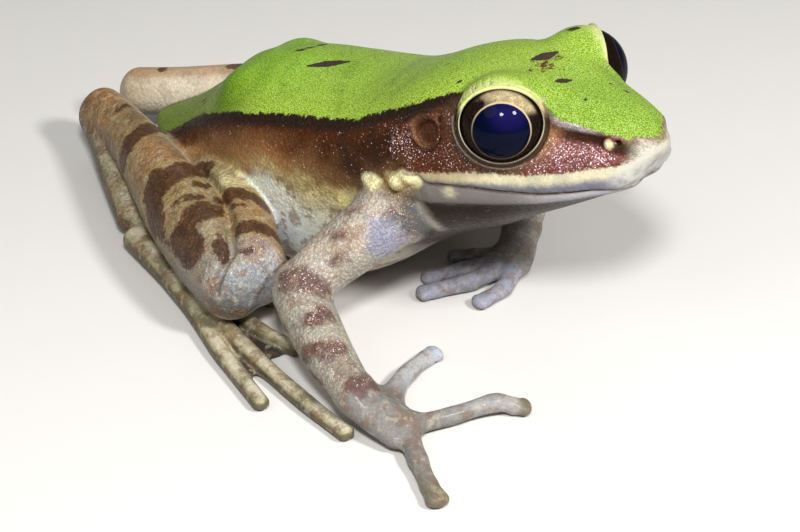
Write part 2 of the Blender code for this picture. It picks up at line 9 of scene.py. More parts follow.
import bmesh
import bpy
import numpy as np
from bpy.props import FloatProperty, FloatVectorProperty, IntProperty, PointerProperty
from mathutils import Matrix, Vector


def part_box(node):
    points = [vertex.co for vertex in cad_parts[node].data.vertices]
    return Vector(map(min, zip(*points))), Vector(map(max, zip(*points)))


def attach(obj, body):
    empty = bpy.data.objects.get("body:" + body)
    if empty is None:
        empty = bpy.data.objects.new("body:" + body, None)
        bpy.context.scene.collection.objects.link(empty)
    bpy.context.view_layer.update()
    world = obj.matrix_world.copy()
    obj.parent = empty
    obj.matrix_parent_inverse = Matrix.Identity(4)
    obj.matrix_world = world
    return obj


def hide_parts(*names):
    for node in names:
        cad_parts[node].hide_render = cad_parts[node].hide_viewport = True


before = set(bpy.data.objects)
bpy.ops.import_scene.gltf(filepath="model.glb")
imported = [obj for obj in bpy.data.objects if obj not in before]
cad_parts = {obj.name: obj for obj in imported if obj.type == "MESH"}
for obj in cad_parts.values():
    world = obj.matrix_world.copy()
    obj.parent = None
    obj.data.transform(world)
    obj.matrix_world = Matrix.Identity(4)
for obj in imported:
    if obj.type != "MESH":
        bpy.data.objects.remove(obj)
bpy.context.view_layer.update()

bl_info = {
    "name": "Large Odorous Frog",
    "version": (1, 0, 0),
    "blender": (4, 5, 0),
    "location": "3D View > Sidebar > Frog",
    "description": "Builds the skin, eyes, floor and light of a large odorous frog around its packed solids",
    "category": "Object",
}

MM = 0.001
EYE_CENTRE = np.array((8.5, 0.0, 33.0))
EYE_AXIS = np.array((0.775, -0.598, 0.206)) / np.linalg.norm((0.775, -0.598, 0.206))
EYE_UP = np.array((0.0, 0.0, 1.0)) - EYE_AXIS[2] * EYE_AXIS
EYE_UP /= np.linalg.norm(EYE_UP)
EYE_ACROSS = np.cross(EYE_UP, EYE_AXIS)
EAR_CENTRE = np.array((12.75, 8.1, 30.5))
EAR_AXIS = np.array((0.95, 0.06, 0.30)) / np.linalg.norm((0.95, 0.06, 0.30))
EAR_RING = 1.95
# The lids' opening lies a little above the eye's middle and is a little wider than high.
LID_RAISED, LID_FLATTENED = 0.32, 1.13
NOSTRIL = np.array((4.65, -13.7, 33.15))
NOSTRIL_SWELLING, NOSTRIL_HOLE = (0.75, 0.85, 0.65), (0.5, 0.42, 0.32)
# Rings on the lids' edge: distance from the opening, height and half the thickness.
LID_RIM, LID_FOLD = (0.345, -0.02, 0.26), (0.86, -0.5, 0.36)
# The cornea and the groove round it: places in millimetres, rise and depth as parts of the eye's radius.
CORNEA_REACH, CORNEA_RISE = 3.9, 0.012
GROOVE_PLACE, GROOVE_HALF, GROOVE_DEPTH = 4.75, 0.25, 0.006
SIDES = ("right", "left")
FINGERS = ("finger_1", "finger_2", "finger_3", "finger_4")

# Sections of head and torso from the tip of the snout to the vent: y, height of the back, then width and height
# of the edge of the back, of the widest line and of the edge of the belly, and last the height of the belly.
TRUNK = (
    (-17.6, 33.3, 1.3, 33.0, 2.0, 32.0, 1.3, 31.0, 30.8),
    (-16.5, 34.3, 2.6, 33.6, 4.1, 31.1, 3.2, 29.1, 28.7),
    (-14.6, 35.2, 3.5, 34.4, 6.2, 30.0, 4.6, 27.2, 26.6),
    (-12.0, 36.0, 4.2, 35.1, 8.0, 28.8, 6.2, 25.7, 24.5),
    (-8.0, 36.7, 5.2, 35.7, 9.8, 27.5, 7.8, 23.5, 21.8),
    (-4.0, 37.2, 6.3, 36.1, 11.1, 26.4, 8.9, 21.3, 19.2),
    (0.0, 37.3, 7.4, 36.1, 12.1, 25.5, 9.8, 18.9, 16.4),
    (5.0, 36.7, 8.6, 34.9, 13.2, 24.6, 10.6, 16.5, 13.4),
    (9.5, 35.5, 9.6, 33.3, 13.9, 23.3, 11.0, 13.7, 10.5),
    (14.0, 33.6, 10.2, 30.9, 14.0, 20.8, 10.9, 10.2, 7.2),
    (19.0, 30.7, 10.9, 27.7, 14.3, 17.8, 10.9, 5.7, 2.9),
    (24.5, 27.9, 11.6, 25.0, 15.2, 15.0, 11.0, 2.2, -0.3),
    (30.0, 26.5, 12.0, 23.3, 15.8, 12.9, 11.3, 1.2, -0.9),
    (36.0, 25.5, 11.8, 22.0, 15.4, 11.6, 10.9, 1.1, -0.8),
    (42.0, 24.8, 10.8, 20.8, 13.9, 11.2, 9.6, 1.7, -0.2),
    (48.0, 22.6, 9.2, 18.2, 12.4, 10.8, 8.4, 3.0, 1.2),
    (54.0, 16.8, 7.4, 14.0, 10.8, 9.6, 6.8, 4.4, 3.0),
    (60.0, 11.8, 5.5, 10.4, 7.6, 8.2, 4.9, 5.4, 4.4),
    (64.5, 8.8, 3.4, 8.0, 4.4, 7.0, 3.0, 5.6, 5.1),
    (67.4, 7.0, 1.2, 6.8, 1.6, 6.4, 1.2, 6.1, 5.9),
)

# The mouth line as y and height, from the tip of the snout to the corner of the mouth.
MOUTH = (
    (-16.9, 26.9), (-15.8, 27.3), (-14.9, 27.85), (-12.9, 27.8), (-11.0, 27.25), (-9.2, 26.75), (-6.9, 26.15),
    (-4.9, 25.85), (-1.7, 25.3), (1.2, 24.9), (3.4, 24.5), (5.4, 24.15), (6.9, 23.8), (7.9, 23.95), (8.7, 24.5),
)

# Limbs as rows of x, y, z, width and thickness along the middle of the limb.
RIGHT = {
    "upper_arm": ((-11.0, 12.8, 17.6, 8.4, 9.0), (-15.5, 14.8, 15.0, 8.0, 8.6), (-20.5, 17.0, 12.0, 7.2, 7.6),
                  (-24.6, 18.3, 9.6, 6.6, 6.8)),
    "forearm": ((-25.8, 17.9, 9.2, 6.8, 6.8), (-27.8, 14.2, 7.8, 6.9, 6.8), (-30.2, 9.2, 6.2, 6.3, 6.2),
                (-32.2, 3.8, 4.6, 5.2, 4.8)),
    "hand": ((-32.7, 2.0, 3.9, 5.2, 4.4), (-32.2, -0.8, 2.7, 6.0, 3.8), (-31.6, -3.8, 1.8, 6.8, 3.2)),
    "finger_1": ((-30.0, 0.4, 1.9, 2.4, 2.4), (-28.0, 3.4, 1.5, 2.2, 2.1), (-26.4, 6.8, 1.1, 2.0, 1.9),
                 (-25.6, 8.8, 1.0, 2.4, 1.7)),
    "finger_2": ((-29.6, -1.0, 1.9, 2.9, 2.5), (-26.2, 2.0, 1.7, 2.5, 2.3), (-21.8, 3.5, 1.4, 2.1, 2.1),
                 (-17.4, 4.0, 1.1, 2.1, 1.9), (-16.1, 4.0, 1.0, 2.8, 1.8)),
    "finger_3": ((-29.8, -4.2, 1.6, 2.6, 2.4), (-25.2, -6.4, 1.4, 2.1, 2.1), (-20.4, -9.1, 1.9, 2.2, 2.2),
                 (-18.6, -10.8, 1.2, 2.1, 2.0), (-17.8, -11.6, 1.0, 2.9, 1.8)),
    "finger_4": ((-32.2, -5.4, 1.6, 2.7, 2.4), (-34.6, -8.8, 1.3, 2.3, 2.2), (-37.2, -12.6, 1.1, 2.1, 1.9),
                 (-38.6, -15.0, 1.0, 2.9, 1.8)),
    "thigh": ((-7.6, 53.0, 7.2, 8.0, 8.4), (-11.8, 46.2, 7.8, 9.8, 10.0), (-17.0, 38.2, 8.6, 10.6, 11.4),
              (-21.6, 31.4, 8.7, 9.4, 10.8), (-24.8, 26.6, 8.4, 8.8, 9.8)),
    "shank": ((-28.2, 27.4, 8.0, 8.8, 10.0), (-25.0, 34.4, 8.2, 10.0, 11.2), (-19.9, 44.6, 8.4, 10.2, 11.0),
              (-13.9, 56.4, 8.3, 8.2, 9.2), (-8.9, 67.0, 7.8, 6.6, 7.2), (-6.4, 73.2, 7.2, 6.4, 6.8)),
    "tarsus": ((-6.6, 74.0, 5.8, 5.8, 5.8), (-10.2, 68.4, 4.7, 5.4, 5.0), (-14.8, 61.6, 3.6, 5.0, 4.6),
               (-19.4, 54.2, 2.8, 5.0, 4.2)),
}
RIGHT_TOES = (
    ((-19.6, 51.0, 1.9, 2.6, 2.6), (-16.6, 40.6, 1.4, 2.2, 2.1), (-14.8, 35.0, 1.0, 2.0, 1.8)),
    ((-20.4, 50.8, 2.0, 2.8, 2.8), (-20.4, 38.6, 1.5, 2.4, 2.2), (-20.4, 28.0, 1.0, 2.1, 1.8)),
    ((-21.2, 50.6, 2.1, 3.0, 3.0), (-24.4, 36.0, 1.7, 2.6, 2.4), (-26.6, 25.4, 1.3, 2.2, 2.0),
     (-26.6, 18.2, 1.0, 2.1, 1.8)),
    ((-22.0, 50.8, 2.2, 3.2, 3.1), (-26.6, 36.0, 1.8, 2.7, 2.6), (-31.0, 22.6, 1.4, 2.3, 2.2),
     (-34.2, 10.0, 1.1, 2.2, 1.9), (-35.8, 1.6, 1.0, 2.3, 1.8)),
    ((-22.6, 51.2, 2.1, 3.0, 3.0), (-27.4, 37.4, 1.7, 2.5, 2.4), (-33.4, 24.6, 1.2, 2.2, 2.0),
     (-37.9, 13.6, 1.0, 2.2, 1.8)),
)
LEFT = {
    "upper_arm": ((11.0, 12.8, 17.6, 8.4, 9.0), (15.0, 15.0, 15.0, 8.0, 8.6), (19.4, 17.4, 12.0, 7.2, 7.6),
                  (22.8, 19.2, 9.6, 6.6, 6.8)),
    "forearm": ((22.8, 18.8, 8.8, 6.8, 6.8), (20.0, 16.6, 7.2, 7.0, 6.4), (16.0, 13.8, 5.6, 6.2, 5.6),
                (11.8, 11.2, 4.2, 5.0, 4.4)),
    "hand": ((10.2, 10.4, 3.7, 4.8, 4.2), (7.8, 9.4, 2.5, 5.6, 3.6), (5.6, 8.8, 1.8, 6.2, 3.0)),
    "finger_1": ((6.4, 11.4, 1.7, 2.3, 2.2), (4.6, 14.2, 1.3, 2.1, 2.0), (3.4, 16.4, 1.0, 2.4, 1.7)),
    "finger_2": ((4.4, 10.6, 1.7, 2.5, 2.3), (1.0, 13.2, 1.3, 2.2, 2.0), (-2.2, 15.2, 1.0, 2.1, 1.8),
                 (-3.0, 15.6, 1.0, 2.7, 1.8)),
    "finger_3": ((3.6, 9.2, 1.7, 2.6, 2.4), (-0.6, 10.4, 1.4, 2.3, 2.2), (-5.0, 13.0, 1.1, 2.1, 1.9),
                 (-6.2, 13.8, 1.0, 2.8, 1.8)),
    "finger_4": ((4.0, 7.2, 1.7, 2.5, 2.3), (1.0, 6.2, 1.3, 2.2, 2.0), (-2.0, 6.6, 1.0, 2.1, 1.8),
                 (-3.0, 6.8, 1.0, 2.7, 1.8)),
    "thigh": tuple((-x, *rest) for x, *rest in RIGHT["thigh"]),
    "shank": ((28.2, 27.2, 8.0, 8.8, 10.0), (24.6, 34.6, 8.2, 10.0, 11.2), (18.4, 45.4, 8.4, 10.2, 11.0),
              (10.8, 57.6, 8.3, 8.2, 9.2), (4.4, 67.8, 7.8, 6.6, 7.2), (1.3, 73.6, 7.2, 6.4, 6.8)),
    "tarsus": ((2.2, 74.6, 5.8, 5.8, 5.8), (6.8, 71.0, 4.7, 5.4, 5.0), (12.4, 66.0, 3.6, 5.0, 4.6),
               (18.0, 60.8, 2.8, 5.0, 4.2)),
}
# The far foot is the near one turned over and set 6.6 mm back; the tip of its longest toe is drawn in further.
LEFT_TOES = tuple(
    tuple((-1.6 - x, y + (8.4 if y < 5 else 6.6), *rest) for x, y, *rest in toe) for toe in RIGHT_TOES
)
# How far each web reaches along the toe on either side of it.
WEB_REACH = ((0.95, 0.85), (0.95, 0.8), (0.95, 0.7), (0.72, 0.95))
# Distances further out than this are not worked out.
FAR = 9.0

# Places where a limb runs softly into the next part, for the right side turned to +X: middle and reach.
SHOULDER, HIP, KNEE = ((12.0, 13.0, 17.0), 7.0), ((8.0, 52.0, 8.0), 9.0), ((27.0, 24.5, 7.6), 3.4)
# The hip bone under the back: middle and half sizes.
HIP_BONE = ((5.4, 45.0, 18.4), (4.0, 4.0, 4.7))
# Small forms of the head, for the right side of the body turned to +X: rows as for the limbs.
BROW = ((7.0, -5.0, 35.1, 1.8, 1.8), (5.7, -8.6, 34.7, 1.7, 1.7), (4.9, -11.6, 34.3, 1.5, 1.5),
        (4.0, -14.6, 33.6, 1.2, 1.2))
SNOUT_HOLLOW = ((8.2, -6.6, 33.6, 1.6, 2.0), (7.2, -9.2, 33.4, 1.5, 1.8), (6.1, -12.0, 33.2, 1.1, 1.3))
EAR_FOLD = ((11.7, 7.6, 32.6, 0.9, 0.9), (12.2, 9.2, 31.9, 1.2, 1.1), (12.7, 10.8, 30.9, 1.4, 1.3),
            (13.1, 12.2, 28.8, 1.4, 1.4), (13.5, 12.8, 26.4, 0.9, 1.0))
# Glands behind the mouth: middle and half sizes.
GLANDS = (((14.0, 10.1, 23.7), (0.9, 1.25, 0.95)), ((14.5, 11.4, 22.7), (1.0, 1.15, 1.0)),
          ((14.0, 15.5, 20.9), (0.95, 1.9, 0.62)))
# Height of the lower lip along the head.
LOWER_LIP = (-14.0, -7.0, -3.5, 1.2, 4.9, 8.0), (1.0, 1.35, 1.7, 2.2, 2.5, 2.8)
# The crease between thigh and shank, and its width at each of its places; it is carved into the leg and darkened as
# painted shade.
CREASE = ((-16.0, 44.0, 13.0), (-19.1, 38.4, 13.9), (-21.1, 35.0, 14.1), (-23.3, 32.1, 13.8), (-25.6, 29.6, 13.1),
          (-28.3, 27.0, 12.8), (-31.0, 26.4, 11.4), (-32.3, 26.3, 9.2))
CREASE_WIDTH = (0.5, 0.9, 1.1, 1.2, 1.2, 1.1, 0.9, 0.6)

# Corners of the space that is searched for the skin. Up to a little height the search is closer, for the thin webs.
SPACE_LOW, SPACE_HIGH = (-43.0, -21.0, -0.9), (42.0, 81.0, 41.5)
CLOSE_HEIGHT, CLOSE_STEP = 2.6, 0.24
# The mesh is made finer on the face, on the lids' edge and, in two goes, along the markings.
FACE_REAR, FACE_LOW, FACE_INSIDE, FACE_TOP, LIDS_REACH = 12.5, 20.5, 1.5, 37.0, 6.6
MARKING_EDGES = (0.62, 0.38)


# ------------------------------------------------------------------ shapes

def smooth_rows(table, steps, closed=False):
    """Return rows along a smooth curve through the rows of a table."""
    rows = np.array(table, float)
    count = len(rows)
    if closed:
        slope = (np.roll(rows, -1, axis=0) - np.roll(rows, 1, axis=0)) / 2
        t = np.arange(steps) * count / steps
        first = t.astype(int) % count
    else:
        slope = np.gradient(rows, axis=0)
        t = np.linspace(0, count - 1, steps)
        first = np.minimum(t.astype(int), count - 2)
    second = (first + 1) % count
    f = (t - np.floor(t) if closed else t - first)[:, None]
    return (
        (2 * f**3 - 3 * f**2 + 1) * rows[first]
        + (f**3 - 2 * f**2 + f) * slope[first]
        + (3 * f**2 - 2 * f**3) * rows[second]
        + (f**3 - f**2) * slope[second]
    )


def join(a, b, soft):
    """Join two shapes given as distances, with a soft fillet."""
    h = np.maximum(soft - np.abs(a - b), 0) / soft
    return np.minimum(a, b) - h * h * soft / 4


def carve(a, b, soft):
    """Take shape b out of shape a, with a soft edge."""
    return -join(-a, b, soft)


def dot(a, b):
    """Multiply rows of three numbers with rows, or with one direction."""
    b = np.asarray(b).T
    return a[:, 0] * b[0] + a[:, 1] * b[1] + a[:, 2] * b[2]


def inside_box(points, low, high):
    """Return the numbers of the points between two corners."""
    keep = (points[:, 0] > low[0]) & (points[:, 0] < high[0]) & (points[:, 1] > low[1])
    keep &= (points[:, 1] < high[1]) & (points[:, 2] > low[2]) & (points[:, 2] < high[2])
    return np.flatnonzero(keep)


def near(points, centre, radius):
    """Return 1 at a place, falling softly to 0 away from it."""
    offset = points - np.array(centre)
    return np.exp(-dot(offset, offset) / radius**2)


def ball(points, centre, radii, axis=None):
    """Distance to an ellipsoid whose last radius lies along the axis."""
    offset = points - np.array(centre)
    length = np.sqrt(dot(offset, offset))
    if axis is None:
        scaled = offset / np.array(radii)
        scaled = np.sqrt(dot(scaled, scaled))
    else:
        up = dot(offset, axis)
        scaled = np.sqrt(np.maximum(length**2 - up**2, 0) / radii[0] ** 2 + (up / radii[-1]) ** 2)
    return length - length / np.maximum(scaled, 1e-6)


def folded(points):
    """Lay the left side over the right one; the left side of the snout is a little lower and narrower."""
    q = points.copy()
    amount = np.clip(q[:, 0] / 5, 0, 1.2) * step_up(-q[:, 1], 3.0, 9.0) * step_up(q[:, 2], 27.0, 31.0)
    q[:, 0] = np.abs(q[:, 0]) + 0.75 * amount
    q[:, 2] += 0.45 * amount
    return q


def step_up(value, low, high):
    """Rise softly from 0 to 1 between two values."""
    t = np.clip((value - low) / (high - low), 0, 1)
    return t * t * (3 - 2 * t)


def ring(points, centre, axis, lift, radius, thick):
    """Distance to a ring round an axis."""
    offset = points - centre
    up = dot(offset, axis)
    flat = np.sqrt(np.maximum(dot(offset, offset) - up**2, 0))
    return np.hypot(flat - radius, up - lift) - thick


class Tube:
    """A limb, digit, ridge or groove with an oval section and round ends."""

    TIP = 0.9

    def __init__(self, table, steps, knuckles=0.0):
        rows = smooth_rows(table, steps)
        self.path = rows[:, :3]
        self.half = rows[:, 3:5] / 2
        where = np.linspace(0, 1, steps)
        for k in range(1, len(table) - 1):
            swell = knuckles * np.exp(-(((where - k / (len(table) - 1)) / 0.07) ** 2))
            self.half *= 1 + swell[:, None]
        along = np.diff(self.path, axis=0)
        self.length = np.linalg.norm(along, axis=1)
        along /= self.length[:, None]
        across = np.cross(along, (0.0, 0.0, 1.0))
        across[np.linalg.norm(across, axis=1) < 0.05] = (1.0, 0.0, 0.0)
        across /= np.linalg.norm(across, axis=1)[:, None]
        self.along, self.across, self.above = along, across, np.cross(across, along)
        reach = self.half.max() + 4.2
        self.low, self.high = self.path.min(axis=0) - reach, self.path.max(axis=0) + reach

    def measure(self, points):
        """Return distance, place along (0 to 1) and height round the section (-1 to 1) for every point."""
        out = np.full(len(points), FAR)
        place, height = np.zeros(len(points)), np.zeros(len(points))
        index = inside_box(points, self.low, self.high)
        if not len(index):
            return out, place, height
        p = points[index]
        start = self.path[:-1]
        lead = p @ self.along.T - (start * self.along).sum(axis=1)
        t = np.clip(lead / self.length, 0, 1) * self.length
        gap = (p * p).sum(axis=1)[:, None] - 2 * p @ start.T + (start * start).sum(axis=1) - 2 * t * lead + t * t
        k = gap.argmin(axis=1)
        t = t[np.arange(len(p)), k] / self.length[k]
        offset = p - start[k] - self.along[k] * (t * self.length[k])[:, None]
        wide = self.half[k, 0] + t * (self.half[k + 1, 0] - self.half[k, 0])
        thick = self.half[k, 1] + t * (self.half[k + 1, 1] - self.half[k, 1])
        u = dot(offset, self.across[k])
        v = dot(offset, self.above[k])
        w = dot(offset, self.along[k])
        tip = (wide + thick) / 2 * self.TIP
        scaled = np.sqrt((u / wide) ** 2 + (v / thick) ** 2 + (w / tip) ** 2)
        length = np.sqrt(u * u + v * v + w * w)
        d = np.where(scaled > 1e-3, length - length / np.maximum(scaled, 1e-3), -np.minimum(wide, thick))
        out[index] = np.minimum(d, FAR)
        place[index] = (k + t) / len(self.length)
        height[index] = v / thick
        return out, place, height

    def field(self, points):
        """Return the distance for every point."""
        return self.measure(points)[0]


class Trunk:
    """Head and torso, from the table of sections."""

    STEP = 0.25
    ANGLES = np.linspace(-math.pi / 2, math.pi / 2, 97)

    def __init__(self):
        rows = smooth_rows(TRUNK, 400)
        self.y = np.arange(TRUNK[0][0], TRUNK[-1][0] + 1e-6, self.STEP)
        rows = np.stack([np.interp(self.y, rows[:, 0], rows[:, k]) for k in range(9)], axis=1)
        self.middle = (rows[:, 1] + rows[:, 8]) / 2
        radius = []
        for row, middle in zip(rows, self.middle):
            y, top, x_back, z_back, x_side, z_side, x_belly, z_belly, bottom = row
            half = ((x_belly, z_belly), (x_side, z_side), (x_back, z_back))
            loop = [(0.0, bottom), *half, (0.0, top)] + [(-x, z) for x, z in reversed(half)]
            points = smooth_rows(loop, 160, closed=True)[:81]
            turn = np.arctan2(points[:, 1] - middle, points[:, 0])
            radius.append(np.interp(self.ANGLES, turn, np.hypot(points[:, 0], points[:, 1] - middle)))
        self.radius = np.array(radius)
        slope_y = np.gradient(self.radius, self.STEP, axis=0)
        slope_a = np.gradient(self.radius, self.ANGLES[1] - self.ANGLES[0], axis=1) / self.radius
        self.scale = 1 / np.sqrt(1 + slope_y**2 + slope_a**2)

    def field(self, q):
        """Return the distance for points on the side where x is positive."""
        y = np.clip(q[:, 1], self.y[0], self.y[-1])
        row = np.clip((y - self.y[0]) / self.STEP, 0, len(self.y) - 1.001)
        i = row.astype(int)
        f = row - i
        rise = q[:, 2] - (self.middle[i] * (1 - f) + self.middle[i + 1] * f)
        r = np.hypot(q[:, 0], rise)
        turn = (np.arctan2(rise, q[:, 0]) + math.pi / 2) / (self.ANGLES[1] - self.ANGLES[0])
        turn = np.clip(turn, 0, len(self.ANGLES) - 1.001)
        j = turn.astype(int)
        g = turn - j

        def look(table):
            low = table[i, j] * (1 - g) + table[i, j + 1] * g
            high = table[i + 1, j] * (1 - g) + table[i + 1, j + 1] * g
            return low * (1 - f) + high * f

        d = (r - look(self.radius)) * look(self.scale)
        beyond = np.abs(q[:, 1] - y)
        return np.where(beyond > 0, np.hypot(np.maximum(d, 0), beyond) + np.minimum(np.minimum(d, 0) + beyond, 0), d)

    def side_at(self, y, z):
        """Return half the width of the body at a place along it and a height."""
        i = int(np.clip((y - self.y[0]) / self.STEP, 0, len(self.y) - 1))
        x = self.radius[i] * np.cos(self.ANGLES)
        return float(np.interp(z, self.middle[i] + self.radius[i] * np.sin(self.ANGLES), x))


class Web:
    """The thin web between two toes."""

    LIFT, HALF = 0.62, 0.36

    def __init__(self, left, right, reach):
        lines = [smooth_rows(table, 40)[:, :2] for table in (left, right)]
        where = np.linspace(0, 1, 40)

        def spot(u, v):
            end = reach[0] * (1 - u) + reach[1] * u - 0.16 * math.sin(math.pi * u)
            spots = [np.array([np.interp(v * end, where, line[:, k]) for k in range(2)]) for line in lines]
            return spots[0] * (1 - u) + spots[1] * u

        edge = [spot(0, v) for v in np.linspace(0, 1, 9)] + [spot(u, 1) for u in np.linspace(0.1, 0.9, 9)]
        edge += [spot(1, v) for v in np.linspace(1, 0, 9)]
        self.edge = np.array(edge)
        self.low = np.array([*(self.edge.min(axis=0) - 3), -3.0])
        self.high = np.array([*(self.edge.max(axis=0) + 3), 4.5])

    def field(self, points):
        """Return the distance for every point."""
        out = np.full(len(points), FAR)
        index = inside_box(points, self.low, self.high)
        p = points[index, :2]
        flat = np.full(len(p), 1e9)
        inside = np.zeros(len(p), bool)
        for a, b in zip(self.edge, np.roll(self.edge, -1, axis=0)):
            ab = b - a
            if ab @ ab < 1e-9:
                continue
            du, dv = p[:, 0] - a[0], p[:, 1] - a[1]
            t = np.clip((du * ab[0] + dv * ab[1]) / (ab @ ab), 0, 1)
            flat = np.minimum(flat, np.hypot(du - t * ab[0], dv - t * ab[1]))
            crosses = (a[1] > p[:, 1]) != (b[1] > p[:, 1])
            if abs(ab[1]) > 1e-9:
                inside ^= crosses & (p[:, 0] < a[0] + (p[:, 1] - a[1]) * ab[0] / ab[1])
        flat = np.where(inside, -flat, flat)
        thick = np.abs(points[index, 2] - self.LIFT) - self.HALF
        outside = np.hypot(np.maximum(flat, 0), np.maximum(thick, 0))
        out[index] = outside + np.minimum(np.maximum(flat, thick), 0)
        return out


class Frog:
    """The whole body as one soft shape, with the parts that its colours follow."""

    def __init__(self, sizes):
        self.eye_radius, self.lid_thickness = sizes.eye_radius / MM, sizes.lid_thickness / MM
        self.rim = math.sqrt(self.eye_radius**2 - (sizes.lid_opening / MM) ** 2)
        self.trunk = Trunk()
        self.brow, self.hollow, self.fold = Tube(BROW, 14), Tube(SNOUT_HOLLOW, 12), Tube(EAR_FOLD, 16)
        self.crease = Tube([(*place, wide, 2 * wide) for place, wide in zip(CREASE, CREASE_WIDTH)], 30)
        self.shape_mouth()
        self.limbs = {}
        for name, table, toes in zip(SIDES, (RIGHT, LEFT), (RIGHT_TOES, LEFT_TOES)):
            limbs = {key: Tube(rows, 20, 0.12 if key in FINGERS else 0.0) for key, rows in table.items()}
            limbs["toes"] = [Tube(rows, 18, 0.08) for rows in toes]
            limbs["webs"] = [Web(a, b, reach) for a, b, reach in zip(toes, toes[1:], WEB_REACH)]
            self.limbs[name] = limbs

    def shape_mouth(self):
        """Lay both lips and the groove between them along the mouth line."""
        side = self.trunk.side_at

        def along_mouth(lift, inset, wide, tall, first, front):
            rows = [(side(y, z + lift) - inset, y, z + lift, wide, tall) for y, z in MOUTH[first:13]]
            return [(0.0, *front, wide, tall)] + rows

        rows = along_mouth(1.0, 0.8, 1.9, 2.1, 2, (-15.85, 29.5))
        end = [(13.15, 8.6, 25.2, 1.6, 1.6), (13.6, 10.6, 24.1, 1.4, 1.5)]
        self.upper_lip = Tube(rows + end, 36)
        rows = [(0.0, -14.5, 27.2, 1.5, 1.0)]
        for y, z in MOUTH[2:13]:
            tall = np.interp(y, *LOWER_LIP)
            rows.append((side(y, z - 0.55 * tall) - 0.78, y, z - 0.55 * tall, 1.7, tall))
        self.lower_lip = Tube(rows, 36)
        rows = along_mouth(0.0, 0.0, 0.56, 0.26, 2, (-15.6, 27.5))
        end = [(side(y, z) + 0.1, y, z, 0.45, 0.30) for y, z in MOUTH[13:]]
        self.mouth = Tube(rows + end, 60)

    def lid_places(self, q):
        """Return across, up and out from the eye's middle, then distance and height from the lid's edge."""
        offset = q - EYE_CENTRE
        across, up, out = dot(offset, EYE_ACROSS), dot(offset, EYE_UP), dot(offset, EYE_AXIS)
        rise = up - LID_RAISED
        flat = np.maximum(np.hypot(across, rise), 1e-6)
        rim = self.rim * flat / np.hypot(across, rise * LID_FLATTENED)
        far = (across / flat * rim) ** 2 + (rise / flat * rim + LID_RAISED) ** 2
        sill = np.sqrt(np.maximum(self.eye_radius**2 - far, 0.5))
        return across, up, out, flat - rim, out - sill

    def trunk_field(self, q):
        """Head and torso with brow, lids, lips, ears and glands, for points on the side where x is positive."""
        d = self.trunk.field(q)
        d = join(d, ball(q, *HIP_BONE), 2.0)
        index = np.flatnonzero((q[:, 1] < 18.5) & (q[:, 2] > 15))
        p = q[index]
        head = d[index]
        lid = self.eye_radius + self.lid_thickness
        head = join(head, ball(p, EYE_CENTRE - (0.4, 0.0, 0.1), (lid, lid, lid)), 1.5)
        head = join(head, self.brow.field(p), 1.6)
        head = carve(head, self.hollow.field(p), 1.8)
        head = join(head, self.upper_lip.field(p), 0.9)
        head = join(head, self.lower_lip.field(p), 0.9)
        for centre, radii in GLANDS:
            head = join(head, ball(p, centre, radii), 0.7)
        head = join(head, self.fold.field(p), 1.9)
        head = carve(head, self.mouth.field(p), 0.35)
        head = join(head, ring(p, EAR_CENTRE, EAR_AXIS, 0.05, 2.05, 0.24), 1.0)
        head = carve(head, ball(p, EAR_CENTRE + EAR_AXIS * 1.05, (1.9, 1.9, 0.75), EAR_AXIS), 0.9)
        head = join(head, ball(p, NOSTRIL, NOSTRIL_SWELLING), 0.7)
        head = carve(head, ball(p, NOSTRIL + (-0.05, -0.75, 0.5), NOSTRIL_HOLE), 0.25)
        _, up, _, edge, height = self.lid_places(p)
        head = carve(head, np.maximum(-height, edge - 0.7 - 0.6 * height), 0.5)
        away, rise, half = LID_FOLD
        head = join(head, np.hypot(edge - away, height - rise) - half * step_up(-up, -2.2, 0.2), 0.35)
        away, rise, half = LID_RIM
        head = join(head, np.hypot(edge - away, height - rise) - half, 0.16)
        length = dot(p - EYE_CENTRE, p - EYE_CENTRE)
        socket = np.sqrt(length) - self.eye_radius - 0.05
        head = np.maximum(head, -socket)
        d[index] = head
        return d

    def arm_field(self, points, name):
        """One arm with hand and fingers."""
        limbs = self.limbs[name]
        d = join(limbs["upper_arm"].field(points), limbs["forearm"].field(points), 2.2)
        d = join(d, limbs["hand"].field(points), 2.0)
        for key in FINGERS:
            d = join(d, limbs[key].field(points), 1.0)
        return d

    def leg_field(self, points, name):
        """One hind leg with its webbed foot."""
        limbs = self.limbs[name]
        side = -1 if name == "right" else 1
        knee = near(points * (side, 1, 1), *KNEE)
        d = join(limbs["thigh"].field(points), limbs["shank"].field(points), 0.3 + 1.0 * knee)
        d = carve(d, self.crease.field(points * (-side, 1, 1)), 0.8)
        heel = near(points, limbs["tarsus"].path[0], 5.0)
        d = join(d, limbs["tarsus"].field(points), 0.5 + 2.0 * heel)
        foot = np.full(len(points), FAR)
        for toe in limbs["toes"]:
            foot = join(foot, toe.field(points), 0.7)
        for web in limbs["webs"]:
            foot = join(foot, web.field(points), 0.5)
        ankle = near(points, limbs["tarsus"].path[-1], 5.0)
        return join(d, foot, 0.4 + 1.6 * ankle)

    def field(self, points):
        """Distance to the frog's skin for every point, in millimetres, negative inside."""
        q = folded(points)
        d = self.trunk_field(q)
        shoulder, hip = near(q, *SHOULDER), near(q, *HIP)
        for name in SIDES:
            d = join(d, self.arm_field(points, name), 0.6 + 2.4 * shoulder)
            d = join(d, self.leg_field(points, name), 0.6 + 2.4 * hip)
        return np.maximum(d, -points[:, 2])


